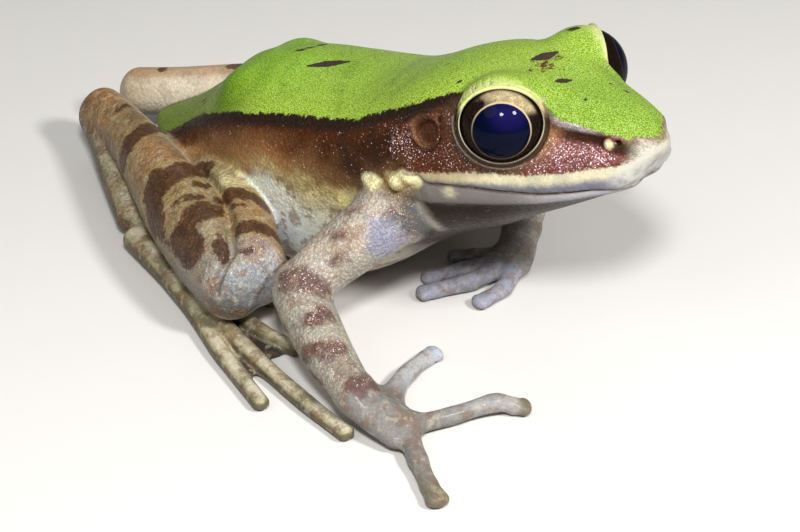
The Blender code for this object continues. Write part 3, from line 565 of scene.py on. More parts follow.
def sample_shape(frog, step):
    """Return the lines of a grid round the frog, close together near the floor, and the distance at each crossing."""
    block = 4
    by_floor = np.arange(SPACE_LOW[2], CLOSE_HEIGHT, CLOSE_STEP)
    axes = [
        np.arange(SPACE_LOW[0], SPACE_HIGH[0], step),
        np.arange(SPACE_LOW[1], SPACE_HIGH[1], step),
        np.concatenate([by_floor, np.arange(by_floor[-1] + step * 0.8, SPACE_HIGH[2], step)]),
    ]
    axes = [axis[: len(axis) // block * block] for axis in axes]
    centres = [axis.reshape(-1, block).mean(axis=1) for axis in axes]
    grid = np.stack(np.meshgrid(*centres, indexing="ij"), axis=-1).reshape(-1, 3)
    rough = frog.field(grid).reshape([len(c) for c in centres])
    value = rough.repeat(block, 0).repeat(block, 1).repeat(block, 2).astype(np.float32)
    i, j, k = np.nonzero(np.abs(value) < step * block * 1.25)
    value[i, j, k] = frog.field(np.stack([axes[0][i], axes[1][j], axes[2][k]], axis=1))
    return axes, value


def cells_on_skin(inside):
    """Return the small cells that the skin crosses, and a table of their numbers."""
    corners = [(a, b, c) for a in (0, 1) for b in (0, 1) for c in (0, 1)]
    nx, ny, nz = (n - 1 for n in inside.shape)
    total = np.zeros((nx, ny, nz), np.uint8)
    for a, b, c in corners:
        total += inside[a:a + nx, b:b + ny, c:c + nz]
    cells = np.argwhere((total > 0) & (total < 8))
    number = np.full(total.shape, -1, np.int32)
    number[tuple(cells.T)] = np.arange(len(cells))
    sides = [(a, b) for a in corners for b in corners
             if sum(b) - sum(a) == 1 and all(y >= x for x, y in zip(a, b))]
    return cells, number, sides


def frog_surface(frog, step):
    """Wrap the frog's shape in a mesh: one point in every small cell that the skin crosses, joined by quads."""
    axes, value = sample_shape(frog, step)
    inside = value < 0
    cells, number, sides = cells_on_skin(inside)
    place = np.zeros((len(cells), 3))
    weight = np.zeros(len(cells))
    for a, b in sides:
        ia, ib = cells + a, cells + b
        va = value[tuple(ia.T)].astype(float)
        vb = value[tuple(ib.T)].astype(float)
        hit = (va < 0) != (vb < 0)
        t = (va / np.where(hit, va - vb, 1))[hit, None]
        pa = np.stack([axes[m][ia[hit, m]] for m in range(3)], axis=1)
        pb = np.stack([axes[m][ib[hit, m]] for m in range(3)], axis=1)
        place[hit] += pa + t * (pb - pa)
        weight[hit] += 1
    place /= weight[:, None]
    quads = []
    for axis in range(3):
        others = [m for m in range(3) if m != axis]
        a, b = np.delete(inside, -1, axis), np.delete(inside, 0, axis)
        edge = np.argwhere(a != b)
        edge = edge[(edge[:, others] > 0).all(axis=1)]
        first = a[tuple(edge.T)]
        corner = []
        for du, dv in ((1, 1), (0, 1), (0, 0), (1, 0)):
            cell = edge.copy()
            cell[:, others[0]] -= du
            cell[:, others[1]] -= dv
            corner.append(number[tuple(cell.T)])
        quad = np.stack(corner, axis=1)
        flip = first if axis != 1 else ~first
        quad[~flip] = quad[~flip, ::-1]
        quads.append(quad)
    return place, np.concatenate(quads)


def settle(frog, mesh, rounds, reach=0.3):
    """Move a mesh's points onto the skin along their normals."""
    for _ in range(rounds):
        points = points_of(mesh)
        move = np.clip(frog.field(points), -reach, reach)
        set_points(mesh, points - normals_of(mesh) * move[:, None])


def even_out(points, edges, rounds, amount=0.5):
    """Draw points towards the middle of their neighbours."""
    count = np.bincount(edges.ravel(), minlength=len(points))[:, None]
    for _ in range(rounds):
        total = np.zeros_like(points)
        for k in range(3):
            total[:, k] = np.bincount(edges[:, 0], points[edges[:, 1], k], len(points))
            total[:, k] += np.bincount(edges[:, 1], points[edges[:, 0], k], len(points))
        points = points + amount * (total / count - points)
    return points


def edges_of(mesh):
    """Return a mesh's edges as pairs of point numbers."""
    edges = np.empty(len(mesh.edges) * 2, np.int32)
    mesh.edges.foreach_get("vertices", edges)
    return edges.reshape(-1, 2)


def points_of(mesh):
    """Return a mesh's points as an array."""
    points = np.empty(len(mesh.vertices) * 3)
    mesh.vertices.foreach_get("co", points)
    return points.reshape(-1, 3)


def normals_of(mesh):
    """Return the directions that a mesh's points face."""
    normals = np.empty(len(mesh.vertices) * 3, np.float32)
    mesh.vertex_normals.foreach_get("vector", normals)
    return normals.reshape(-1, 3)


def set_points(mesh, points):
    """Move a mesh's points."""
    mesh.vertices.foreach_set("co", points.astype(np.float32).ravel())
    mesh.update()


def choose(body):
    """Make one object the only chosen one."""
    bpy.ops.object.select_all(action="DESELECT")
    body.select_set(True)
    bpy.context.view_layer.objects.active = body


def origin():
    """Return the place of the working origin in the frame, in metres."""
    corners = [corner for node in ("eye_left", "eye_right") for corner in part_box(node)]
    return sum(corners, Vector()) / 4 - Vector((0, 0, EYE_CENTRE[2] * MM))


def on_one_side(mesh):
    """Return a mesh's points with its left side laid over the right one."""
    points = points_of(mesh)
    points[:, 0] = np.abs(points[:, 0])
    return points


def near_marks(frog, points):
    """Return the points close to the edge of the green back, the specks and the blotches of the near leg."""
    q = folded(points)
    chosen = (np.abs(line_height(q, BORDER)) < 0.8) & (q[:, 1] < 64) & (frog.trunk_field(q) < 0.2)
    for a, b, half in SPECKS:
        chosen |= to_segment(points, a, b, SPECK_FLAT)[0] < half + 0.5
    for line, half in LEG_BLOTCHES:
        chosen |= np.abs(to_line(points, line) - half) < 0.6
    return chosen


def refine(mesh, chosen, longest=0.0):
    """Halve the edges between the chosen points that are longer than a length."""
    work = bmesh.new()
    work.from_mesh(mesh)
    edges = [edge for edge in work.edges if chosen[edge.verts[0].index] and chosen[edge.verts[1].index]
             and edge.calc_length() > longest]
    bmesh.ops.subdivide_edges(work, edges=edges, cuts=1, use_grid_fill=True)
    bmesh.ops.triangulate(work, faces=work.faces)
    work.to_mesh(mesh)
    work.free()


def make_skin_body(sizes):
    """Wrap the body, refine the face, thin the whole and refine the edges of the markings."""
    frog = Frog(sizes)
    points, quads = frog_surface(frog, sizes.skin_step / MM)
    mesh = bpy.data.meshes.new("skin")
    mesh.from_pydata(points.tolist(), [], quads.tolist())
    mesh.update()
    body = bpy.data.objects.new("skin", mesh)
    bpy.context.scene.collection.objects.link(body)
    set_points(mesh, even_out(points, edges_of(mesh), 2))
    settle(frog, mesh, 3)
    q = on_one_side(mesh)
    face = (q[:, 1] < FACE_REAR) & (q[:, 2] > FACE_LOW) & (q[:, 0] > FACE_INSIDE)
    face &= (q[:, 2] < FACE_TOP) | (np.linalg.norm(q - EYE_CENTRE, axis=1) < LIDS_REACH)
    refine(mesh, face)
    settle(frog, mesh, 2)
    q = on_one_side(mesh)
    *_, edge, height = frog.lid_places(q)
    refine(mesh, (np.abs(edge - 0.3) < 0.75) & (np.abs(height) < 0.8))
    settle(frog, mesh, 2, 0.15)
    set_points(mesh, even_out(points_of(mesh), edges_of(mesh), 1, 0.3))
    settle(frog, mesh, 2, 0.15)
    choose(body)
    thin = body.modifiers.new("thin", "DECIMATE")
    thin.ratio = min(1.0, sizes.skin_faces / len(mesh.polygons))
    bpy.ops.object.modifier_apply(modifier="thin")
    for longest in MARKING_EDGES:
        refine(mesh, near_marks(frog, points_of(mesh)), longest)
    settle(frog, mesh, 2, 0.1)
    return body, frog


# ------------------------------------------------------------------ markings

# The lower edge of the green back, as y and height from the snout to the vent.
BORDER = (
    (-17.9, 33.1), (-17.1, 33.7), (-16.1, 34.05), (-14.6, 34.3), (-13.4, 34.6), (-11.7, 34.65), (-9.9, 34.85),
    (-8.3, 35.0), (-6.9, 35.15), (-5.7, 35.6), (-5.0, 36.4), (-3.5, 37.0), (0.0, 37.4), (2.5, 36.8), (3.7, 35.9),
    (6.4, 34.75), (7.9, 34.2), (9.3, 33.4), (12.9, 31.3), (15.6, 29.9), (17.8, 28.6), (20.7, 26.9), (25.7, 25.1),
    (30.8, 23.8), (35.0, 22.6), (39.5, 21.2), (43.6, 19.7), (50.0, 16.4), (54.9, 12.6), (58.9, 9.6), (62.0, 7.5),
    (68.0, 6.3),
)
# The upper edge of the pale lip, as y and height from the tip of the snout.
LIP_TOP = (
    (-17.9, 33.0), (-17.3, 32.5), (-16.8, 32.05), (-16.3, 31.6), (-15.0, 31.05), (-13.3, 30.6), (-11.4, 30.0),
    (-9.4, 29.35), (-7.3, 28.75), (-4.9, 28.1), (-3.0, 27.8), (-1.2, 27.5), (1.0, 27.05), (4.0, 26.25), (7.1, 25.4),
    (8.9, 24.9), (10.8, 24.4),
)
# Fold lines behind the ear, drawn only as painted shade in their grooves.
FLANK_FOLDS = (
    ((-11.5, 22.9, 25.4), (-13.4, 21.0, 23.3), (-14.0, 19.6, 21.2)),
    ((-11.6, 17.9, 27.3), (-12.9, 16.5, 25.5), (-13.6, 15.3, 23.4)),
)
# Dark specks on the back: two ends and half the thickness in the middle.
SPECKS = (
    ((-2.3, 36.9, 25.3), (1.0, 32.8, 25.9), 0.75), ((0.3, 41.6, 24.8), (1.3, 40.9, 24.8), 0.32),
    ((1.6, 41.2, 24.8), (3.2, 40.4, 24.7), 0.26), ((3.6, 40.6, 24.6), (5.7, 40.8, 24.1), 0.4),
    ((0.1, 1.9, 37.1), (3.0, 0.6, 37.4), 0.75), ((7.4, 2.2, 38.7), (8.2, 0.9, 39.0), 0.5),
    ((-2.9, -3.8, 37.3), (-1.2, -4.8, 37.2), 0.42), ((6.5, 22.1, 28.2), (4.0, 17.7, 30.6), 0.2),
    ((-3.3, 13.1, 33.3), (-2.6, 12.4, 33.5), 0.26), ((-7.6, 7.7, 35.0), (-6.9, 7.2, 35.1), 0.26),
    ((-8.1, 48.9, 19.5), (-7.8, 48.0, 20.1), 0.3), ((-6.7, 53.0, 15.4), (-6.4, 52.3, 16.0), 0.3),
    ((-8.2, 49.8, 18.2), (-8.1, 49.2, 18.7), 0.2), ((-5.1, 54.3, 15.1), (-5.5, 53.2, 15.6), 0.25),
    ((-3.3, -8.2, 36.5), (-2.9, -8.7, 36.5), 0.2), ((1.9, -8.1, 36.7), (2.4, -8.6, 36.6), 0.2),
    ((2.4, -10.2, 36.3), (2.9, -10.8, 36.2), 0.24), ((4.0, -8.1, 36.3), (4.2, -8.6, 36.2), 0.14),
    ((5.2, 52.0, 16.4), (5.5, 51.0, 16.9), 0.25), ((8.6, 27.4, 26.0), (8.2, 28.4, 25.8), 0.22),
)
# Heights count for a quarter in the distance from a speck, since the back is nearly level.
SPECK_FLAT = 0.25
# Shallow fold lines across the green back, drawn as bump and as painted shade.
FOLDS = (
    ((-9.9, 25.3, 25.8), (-7.6, 27.2, 26.1), (-4.6, 28.9, 26.3), (-1.0, 30.8, 26.3), (2.1, 32.5, 25.9)),
    ((-8.7, 20.5, 28.1), (-5.8, 20.7, 28.9), (-2.6, 21.2, 29.1), (1.3, 22.2, 28.7), (6.2, 24.0, 27.4)),
    ((-8.4, 17.7, 29.6), (-6.4, 16.9, 30.7), (-3.3, 17.0, 31.1), (-1.8, 16.3, 31.6)),
    ((-8.9, 36.0, 23.4), (-5.6, 38.4, 24.4), (-2.0, 39.6, 25.0)),
)
# Dark bars on the limbs of the far side: place along the limb, half the width, and how far the bar leans.
BARS = {
    "shank": ((0.645, 0.035, 0.03), (0.40, 0.052, 0.05), (0.215, 0.050, 0.04), (0.87, 0.03, 0.03)),
    "thigh": ((0.63, 0.052, 0.05), (0.86, 0.045, 0.05), (0.22, 0.05, 0.05)),
}
# Dark blotches on the near hind leg: points along each one and half its width.
LEG_BLOTCHES = (
    (((-25.6, 43.2, 9.4), (-24.2, 44.9, 11.3), (-22.4, 45.2, 13.0), (-18.8, 44.8, 13.7), (-16.4, 44.3, 12.9)), 2.1),
    (((-23.6, 46.4, 10.8), (-21.2, 47.4, 13.0)), 1.4), (((-26.4, 41.4, 10.6), (-25.4, 43.0, 11.2)), 1.2),
    (((-28.2, 36.4, 11.2), (-27.2, 35.6, 12.9), (-25.1, 35.1, 13.7), (-23.2, 34.6, 13.5)), 1.35),
    (((-29.6, 32.8, 11.2), (-28.9, 35.6, 11.6)), 2.4),
    (((-23.6, 39.2, 13.7), (-22.6, 38.2, 13.9)), 0.7), (((-27.6, 39.9, 9.8), (-27.2, 41.6, 9.2)), 0.8),
    (((-25.8, 37.0, 13.5), (-23.6, 36.6, 13.6)), 0.9),
    (((-28.2, 29.0, 13.0), (-29.2, 27.2, 12.7)), 1.1), (((-26.9, 30.4, 13.1), (-27.0, 29.8, 13.1)), 0.5),
    (((-17.4, 57.6, 9.6), (-15.6, 57.8, 11.8), (-13.0, 57.6, 12.6), (-10.8, 57.8, 11.6)), 1.7),
    (((-20.2, 40.8, 13.5), (-19.2, 40.0, 13.4)), 0.75), (((-24.6, 40.4, 12.9), (-23.6, 39.6, 13.4)), 0.6),
    (((-20.6, 35.9, 14.2), (-19.2, 34.6, 14.4), (-17.8, 32.8, 13.9), (-17.2, 31.6, 12.6)), 1.3),
    (((-24.6, 29.3, 13.7), (-23.2, 28.1, 13.8), (-21.4, 26.8, 12.9), (-20.6, 26.2, 11.4)), 1.15),
    (((-21.6, 33.4, 14.3), (-20.6, 32.2, 14.4)), 0.45), (((-27.2, 26.0, 12.4), (-26.3, 25.6, 12.6)), 0.5),
    (((-10.2, 66.0, 11.2), (-8.6, 66.4, 11.2)), 0.7), (((-12.2, 63.8, 10.2), (-12.8, 61.4, 10.6)), 0.6),
    (((-28.0, 38.8, 9.4), (-28.4, 37.8, 9.4)), 0.5), (((-30.6, 31.2, 9.6), (-30.9, 30.2, 9.4)), 0.45),
)
# Dark blotches on the near arm, in the same way.
ARM_BLOTCHES = (
    (((-27.6, 18.0, 11.9), (-26.8, 16.2, 12.3), (-25.4, 14.0, 11.5)), 1.5),
    (((-31.0, 13.6, 9.0), (-29.8, 12.1, 10.2)), 0.7), (((-29.8, 11.7, 10.3), (-28.4, 10.9, 10.3)), 1.3),
    (((-33.0, 11.0, 6.4), (-32.3, 8.9, 8.2)), 0.9), (((-32.0, 7.9, 8.3), (-30.9, 6.9, 8.2)), 1.15),
    (((-32.8, 2.0, 5.9), (-31.4, 1.5, 5.6)), 1.6), (((-33.4, 9.0, 4.9), (-33.7, 6.8, 4.6)), 0.75),
    (((-20.9, 15.7, 16.2), (-20.5, 15.0, 16.2)), 0.6), (((-22.8, 14.8, 13.7), (-22.2, 14.4, 13.7)), 0.6),
    (((-17.9, 15.9, 18.2), (-17.3, 15.6, 18.4)), 0.6), (((-30.6, 15.6, 7.4), (-30.8, 14.6, 7.4)), 0.6),
)
# Painted glints on the grains are densest round these places on the near arm: middle and reach.
ARM_GLINTS = (((-26.6, 16.4, 12.0), 2.6), ((-29.0, 11.6, 10.2), 1.8), ((-31.2, 7.2, 8.4), 1.6),
                ((-32.6, 1.2, 5.6), 1.6))
# The pale ridge from the glands down to the arm.
ARMPIT_RIDGE = ((13.3, 8.6, 20.3), (12.7, 7.5, 18.2), (11.8, 6.7, 16.4))
# Colours of the near hand's fingers: finger, colour, where it starts and is full along the finger, and strength.
FINGER_COLOURS = (
    ("finger_1", "finger_tip", 0.7, 1.0, 1.0), ("finger_2", "finger", 0.1, 0.4, 1.0),
    ("finger_2", "finger_blue", 0.6, 0.95, 1.0), ("finger_3", "finger", 0.1, 0.4, 0.5),
    ("finger_3", "finger_tip", 0.7, 1.0, 1.0), ("finger_4", "finger_tip", 0.35, 1.0, 1.0),
)
# Soft patches of the hind legs: colour, middle, reach, strength and how much lighter or darker.
LEG_PATCHES = (
    ("leg_cream", (16.8, 41.0, 13.8), 2.6, 0.9, 1.0), ("leg_cream", (27.3, 31.2, 13.3), 2.0, 0.9, 1.0),
    ("knee", (29.5, 31.5, 10.5), 5.0, 0.7, 0.8), ("leg_cream", (22.6, 39.2, 13.6), 1.8, 0.8, 1.0),
)

# Tones that a colour is multiplied by; the gap tones darken the gaps between warts and grains as painted shade.
LIGHT_PATCH, BRIGHT_GRAIN = (1.5, 1.3, 1.15), (1.7, 1.5, 1.4)
WART_GAP_SHADE, GRAIN_GAP_SHADE = (0.62, 0.58, 0.55), (0.62, 0.58, 0.56)
LIP_PATCH, LIP_GRAIN_GAP_SHADE = (0.84, 0.85, 0.88), (0.72, 0.68, 0.64)
LIP_REAR, LIP_FRONT = (0.66, 0.60, 0.55), (0.76, 0.76, 0.82)
FOLD_SHADE, SNOUT_SHADE = (0.42, 0.50, 0.25), (0.74, 0.77, 0.90)


# ------------------------------------------------------------------ places on the skin

def line_height(q, line):
    """Return how far points lie above a line of y and height."""
    line = np.array(line)
    slope = np.gradient(line[:, 1], line[:, 0])
    rise = q[:, 2] - np.interp(q[:, 1], line[:, 0], line[:, 1])
    return rise / np.sqrt(1 + np.interp(q[:, 1], line[:, 0], slope) ** 2)


def to_segment(points, a, b, flat=1.0):
    """Return the distance of points from a short line and the place along it; heights may count for less."""
    a, b, points = a * np.array((1, 1, flat)), b * np.array((1, 1, flat)), points * (1, 1, flat)
    t = np.clip(dot(points - a, b - a) / ((b - a) @ (b - a)), 0, 1)
    offset = points - a - t[:, None] * (b - a)
    return np.sqrt(dot(offset, offset)), t


def to_line(points, line, flat=1.0):
    """Return the distance of points from a line through several places."""
    return np.min([to_segment(points, a, b, flat)[0] for a, b in zip(line, line[1:])], axis=0)


def along_line(points, line, half, flat=1.0):
    """Return 1 on a line, falling softly to 0 beside it."""
    return np.exp(-((to_line(points, line, flat) / half) ** 2))


class Cloud:
    """Soft uneven values in space, the same on every run."""

    def __init__(self, seed):
        self.table = np.random.default_rng(seed).random((32, 32, 32)) - 0.5

    def look(self, points, size):
        """Return values of about -0.5 to 0.5 that change over a size in millimetres."""
        total = 0
        for part, shrink in ((0.7, 1.0), (0.4, 0.45)):
            place = points / (size * shrink) + 200
            low = np.floor(place).astype(int)
            f = place - low
            f = f * f * (3 - 2 * f)
            for corner in range(8):
                step = np.array((corner & 1, corner >> 1 & 1, corner >> 2))
                weight = np.prod(np.where(step, f, 1 - f), axis=1)
                i, j, k = ((low + step) % 32).T
                total = total + part * weight * self.table[i, j, k]
        return total


class Places:
    """Where the skin's points lie: on which limb, how far above the drawn lines, and how close to ear and eye."""

    def __init__(self, frog, points, normals):
        self.frog, self.points, self.down = frog, points, -normals[:, 2]
        self.outward = normals[:, 0] * np.where(points[:, 0] < 0, -1, 1)
        self.q = q = folded(points)
        self.y = y = q[:, 1]
        self.find_limbs()
        self.above = line_height(q, BORDER) + 2.5 * near(points, (10.0, 6.0, 34.0), 3.2)
        self.lip, self.mouth = line_height(q, LIP_TOP), line_height(q, MOUTH)
        self.head = step_up(y, 12.5, 8.5)
        self.torso = 1 - self.head
        self.snout = self.head * step_up(-y, 4.0, 6.5)
        self.stripe = np.interp(y, (-15.5, -12.6, -8.0, -6.0), (1.9, 1.8, 2.35, 2.2))
        self.ridge = step_up(self.above, np.interp(y, (-12.5, -8.0), (-0.75, -1.45)), -0.4) * step_up(y, -13.2, -10.0)
        cloud = Cloud(5)
        self.rough, self.small = cloud.look(points, 3.0), cloud.look(points + 40, 1.3)
        self.uneven = self.above + 4.0 * self.rough + 1.6 * self.small
        self.brown = self.uneven + np.interp(y, (16.0, 20.0, 26.0, 38.0), (2.8, 2.1, 0.7, -0.3))
        ear = q - EAR_CENTRE
        rise = dot(ear, EAR_AXIS)
        self.ear_flat = np.sqrt(np.maximum(dot(ear, ear) - rise**2, 0))
        self.on_ear = step_up(-rise, -2.5, -1.6) * (np.abs(rise) < 2.5)
        self.ear_low = step_up(-ear[:, 2] + 0.9 * ear[:, 1], -0.4, 1.8)
        self.across, self.up, self.out, self.edge, _ = frog.lid_places(q)
        self.by_eye = step_up(self.out, -1.0, 0.2) * step_up(-self.edge, -3.0, -2.0)
        self.glands = np.clip(near(q, (14.4, 10.6, 23.1), 1.9) + near(q, (14.3, 15.3, 20.6), 1.6), 0, 1)
        self.armpit = near(q, (14.4, 10.3, 18.8), 2.2) + near(q, (12.7, 9.2, 16.8), 2.0)

    def find_limbs(self):
        """Find what is arm, hand, leg and foot."""
        points, sides = self.points, self.frog.limbs.values()
        self.limbs = {(name, key): limb.measure(points) for name, limbs in self.frog.limbs.items()
                      for key, limb in limbs.items() if isinstance(limb, Tube)}
        self.toe = np.min([toe.field(points) for limbs in sides for toe in limbs["toes"]], axis=0)
        self.web = np.min([web.field(points) for limbs in sides for web in limbs["webs"]], axis=0)
        self.foot = np.minimum(self.toe, self.web)
        fingers = self.reach(*FINGERS)
        arm = np.minimum(self.reach("upper_arm", "forearm", "hand"), fingers)
        leg = np.minimum(self.reach("thigh", "shank", "tarsus"), self.foot)
        trunk = self.frog.trunk_field(self.q)
        self.on_arm = step_up(np.minimum(trunk, leg) - arm, -0.5, 0.9)
        self.on_leg = step_up(np.minimum(trunk, arm) - leg, -0.5, 0.7)
        self.on_body = (1 - self.on_arm) * (1 - self.on_leg)
        self.hand = step_up(np.minimum(self.reach("forearm"), 6) - np.minimum(self.reach("hand"), fingers), -0.6, 0.9)
        shank, tarsus = self.reach("shank"), self.reach("tarsus")
        self.far_shank = step_up(-self.limbs["left", "shank"][0], -1.4, -0.4)
        self.on_tarsus = step_up(np.minimum(shank, 5) - tarsus, -0.5, 0.8) * (1 - self.far_shank)
        self.on_foot = step_up(np.minimum(np.minimum(shank, tarsus), 5) - self.foot, -0.5, 0.6)
        length, side = points[:, 1], self.outward
        inner = step_up(-side, -0.15, 0.35) * step_up(length, 40, 48) * (points[:, 0] > 0)
        inner = np.maximum(inner, step_up(-side, 0.35, 0.85) * step_up(length, 40, 48))
        self.inner_leg = np.maximum(inner, self.far_shank * step_up(length, 48, 54))
        self.under_leg = step_up(self.down, 0.4, 0.85)

    def reach(self, *keys):
        """Return the distance to the nearest of the limbs on both sides."""
        return np.min([self.limbs[name, key][0] for name in SIDES for key in keys], axis=0)

    def patch(self, centre, radius, low, high, mixed=0.0, broad=0.0):
        """Return 1 in a patch of the folded skin whose edge is broken up by the small and the broad cloud."""
        return step_up(near(self.q, centre, radius) + mixed * self.small + broad * self.rough, low, high)


# ------------------------------------------------------------------ painting

class Paint:
    """Colours laid one over the other on the skin's points."""

    def __init__(self, palette, count, first):
        self.palette = palette
        self.colour = np.tile(palette[first], (count, 1))

    def blend(self, colour, amount):
        """Blend in a colour, or one colour for each point, where amount is 1."""
        self.colour += (colour - self.colour) * np.clip(amount, 0, 1)[:, None]

    def lay(self, name, amount, light=1.0):
        """Lay a colour of the palette, made lighter or darker, over the points where amount is 1."""
        self.blend(self.palette[name] * light, amount)

    def shade(self, light, amount):
        """Make the points lighter or darker where amount is 1."""
        self.colour *= (1 + (light - 1) * amount)[:, None]


def paint_flank(paint, at):
    """Paint the flank: brown under the back, then olive and cream, and a pale groin; the throat is painted dark as
    painted shade, and the fold lines behind the ear as painted shade in their grooves.
    """
    y, torso, rough, small = at.y, at.torso, at.rough, at.small
    # Painted shade: throat and chest are painted dark brown for the shade under the body.
    paint.lay("throat", step_up(y, 18, 9))
    paint.lay("flank_cream", step_up(at.uneven, -16.5, -12.5) * torso)
    paint.lay("flank_olive", step_up(at.uneven, -12.5, -8.5) * torso)
    paint.lay("flank_yellow", step_up(small + 0.5 * rough, 0.04, 0.2) * step_up(at.above, -13, -9) * torso * 0.7)
    marbled = step_up(-small - 0.4 * rough, 0.02, 0.16) * step_up(at.above, -15, -11) * torso
    paint.lay("flank_olive", marbled * 0.6, 0.7)
    groin = near(at.q, (15.2, 29.0, 10.0), 5.6) + near(at.q, (15.4, 33.6, 12.5), 3.4)
    paint.lay("groin", step_up(groin + 0.8 * rough + 0.5 * small, 0.25, 0.6))
    paint.lay("groin_blue", near(at.q, (14.8, 30.5, 9.0), 4.0) * 0.9)
    brown, dark = step_up(at.brown, -7.0, -5.2), step_up(at.brown, -5.2, -1.6)
    paint.lay("flank_brown", brown * 0.95)
    paint.lay("flank_dark", dark)
    hind = np.interp(y, (28.0, 34.0, 40.0, 46.0), (0.0, 0.5, 0.5, 0.0))
    paint.lay("flank_brown", hind * step_up(-at.above, 1.0, 2.2) * dark)
    paint.shade(np.interp(y, (20.0, 25.0, 32.0), (0.6, 0.8, 1.4)), brown * step_up(-at.above, 1.5, 3.5) * torso)
    # Painted shade in the grooves of the fold lines behind the ear.
    for line in FLANK_FOLDS:
        groove = along_line(at.q * (-1, 1, 1), line, 0.8) * torso
        paint.lay("flank_fold_shade", groove * step_up(-at.above, 0.5, 1.5) * 0.8)


def paint_head(paint, at):
    """Paint cheek, side of the snout with its dark stripe and a painted highlight on its ridge, and ear with a
    painted highlight on its lower rim.
    """
    y, above, head = at.y, at.above, at.head
    paint.lay("mask", head * step_up(at.lip, -0.6, 0.3))
    side = head * step_up(at.lip, 0.0, 0.5) * step_up(y, -3.2, -6.0)
    paint.lay("loreal", side)
    paint.lay("loreal_dark", side * step_up(above + at.stripe, -0.25, 0.2) * step_up(-above, 0.2, 0.5))
    # A painted highlight along the ridge of the snout.
    paint.lay("ridge_highlight", side * at.ridge)
    paint.lay("border", step_up(above, -1.7, -0.7) * step_up(y, 3.0, 5.0) * step_up(-y, -62, -50))
    from_eye = np.linalg.norm(at.q - EYE_CENTRE, axis=1)
    paint.lay("eye_side", np.exp(-((from_eye - 6.0) / 1.1) ** 2) * step_up(-above, 0.0, 0.8))
    paint.lay("eye_front", near(at.q, (7.5, -6.7, 33.0), 1.2) + near(at.q, (7.9, -6.1, 31.3), 1.4))
    paint.lay("ear", step_up(-at.ear_flat, -2.2, -1.8) * at.on_ear)
    ring = np.exp(-(((at.ear_flat - EAR_RING) / 0.26) ** 2)) * at.on_ear
    # The ear's rim, with a painted highlight on its lower rear side.
    paint.lay("ear_rim_and_highlight", ring * (0.12 + 0.8 * at.ear_low))


def paint_mouth(paint, at):
    """Paint lower lip, snout tip, nostril and the glands behind the mouth, with painted shade on the throat, in a
    line under the lower lip, on the lower lip itself and under and between the glands.
    """
    q, y = at.q, at.y
    lower = at.head * step_up(-at.mouth, 0.0, 0.3)
    front = step_up(-y, 2.0, 12.0)[:, None]
    below = at.mouth + np.interp(y, *LOWER_LIP)
    # Painted shade: below the mouth the throat is painted dark.
    paint.lay("throat", lower)
    # The lower lip's grey is darkened as painted shade; the rear one is the darker.
    paint.blend(paint.palette["lower_lip"] * (1 - front) + paint.palette["lower_lip_front"] * front,
                lower * step_up(below, -0.25, 0.15))
    # A painted shadow line just under the lower lip.
    paint.lay("throat", lower * np.exp(-(((below + 0.15) / 0.28) ** 2)) * 0.7, 0.5)
    paint.lay("lip_spot", near(q, (13.0, 4.1, 23.5), 0.62) * 1.2)
    paint.lay("snout", step_up(-y, 15.2, 17.2) * step_up(-at.above, -0.2, 0.5) * 0.8)
    paint.lay("border", near(q, (4.1, -14.5, 33.3), 0.9) * 0.9)
    paint.lay("nostril", step_up(-np.linalg.norm(q - (5.1, -13.6, 33.3), axis=1), -0.85, -0.5))
    paint.lay("nostril_rim", near(q, (3.6, -15.1, 33.9), 0.6) * 0.9)
    for centre, radius in (((14.2, 9.9, 23.6), 1.7), ((14.6, 11.4, 22.7), 1.75), ((14.3, 15.5, 20.9), 1.75)):
        apart = np.linalg.norm((q - centre) * (1, 0.72, 1.25), axis=1)
        paint.lay("gland", step_up(-apart, -radius, -radius * 0.7))
    # Painted shade on the glands' lower sides and between the middle and the rear gland.
    paint.lay("gland_shade", at.glands * step_up(at.down, -0.5, 0.2) * 0.8)
    paint.lay("gland_shade", near(q, (14.9, 13.0, 21.6), 1.0) * 0.8)
    # Painted shade in a short crease under the long gland behind the mouth.
    paint.lay("flank_fold_shade", near(q * (1, 0.6, 1), (14.4, 9.0, 19.4), 0.6) * 0.8)
    paint.lay("flank_yellow", at.patch((14.8, 20.2, 16.4), 2.3, 0.4, 0.8, 0.7) * 0.8)


def paint_lids(paint, at):
    """Paint the pale upper lid and its brown front."""
    paint.lay("lid_pale", at.by_eye * step_up(at.up, 0.6, 2.8) * step_up(-at.edge, -1.3, -0.8))
    front = step_up(-at.across, 3.2, 4.4) * step_up(at.up, -1.0, 1.5)
    paint.lay("lid_front", at.by_eye * front * step_up(-at.edge, -1.6, -0.9) * 0.6)


def paint_arms(palette, at):
    """Return the arms' colours: pale with brown mottling, dark blotches, grey hands."""
    arm = Paint(palette, len(at.q), "arm_pale")
    arm.lay("arm_tan", step_up(at.rough + 0.6 * at.small, 0.0, 0.25) * 0.8)
    arm.lay("arm_lavender", at.patch((16.4, 10.8, 15.6), 3.6, 0.25, 0.7, 0.6) * 0.9)
    arm.lay("forearm", step_up(np.minimum(at.reach("upper_arm"), 6) - at.reach("forearm"), -1.0, 1.5))
    arm.lay("belly", step_up(at.down, 0.35, 0.8))
    arm.lay("hand", at.hand)
    for key, colour, start, full, strength in FINGER_COLOURS:
        distance, along, _ = at.limbs["right", key]
        arm.lay(colour, step_up(-distance, -0.4, 0.0) * step_up(along, start, full) * strength)
    for key in FINGERS:
        arm.lay("arm_lavender", step_up(-at.limbs["left", key][0], -0.4, 0.0) * 0.5, 1.3)
    arm.lay("hand_grey", at.hand * step_up(at.small + 0.4 * at.rough, 0.0, 0.25) * 0.5)
    arm.lay("hand_grey", near(at.points, (-32.3, 2.6, 6.4), 3.0) * 0.55)
    for line, half in ARM_BLOTCHES:
        inside = half - to_line(at.points, line)
        arm.lay("arm_bar", step_up(inside + 1.3 * at.small + 0.5 * at.rough, -0.4, 0.4) * 0.85)
    return arm.colour


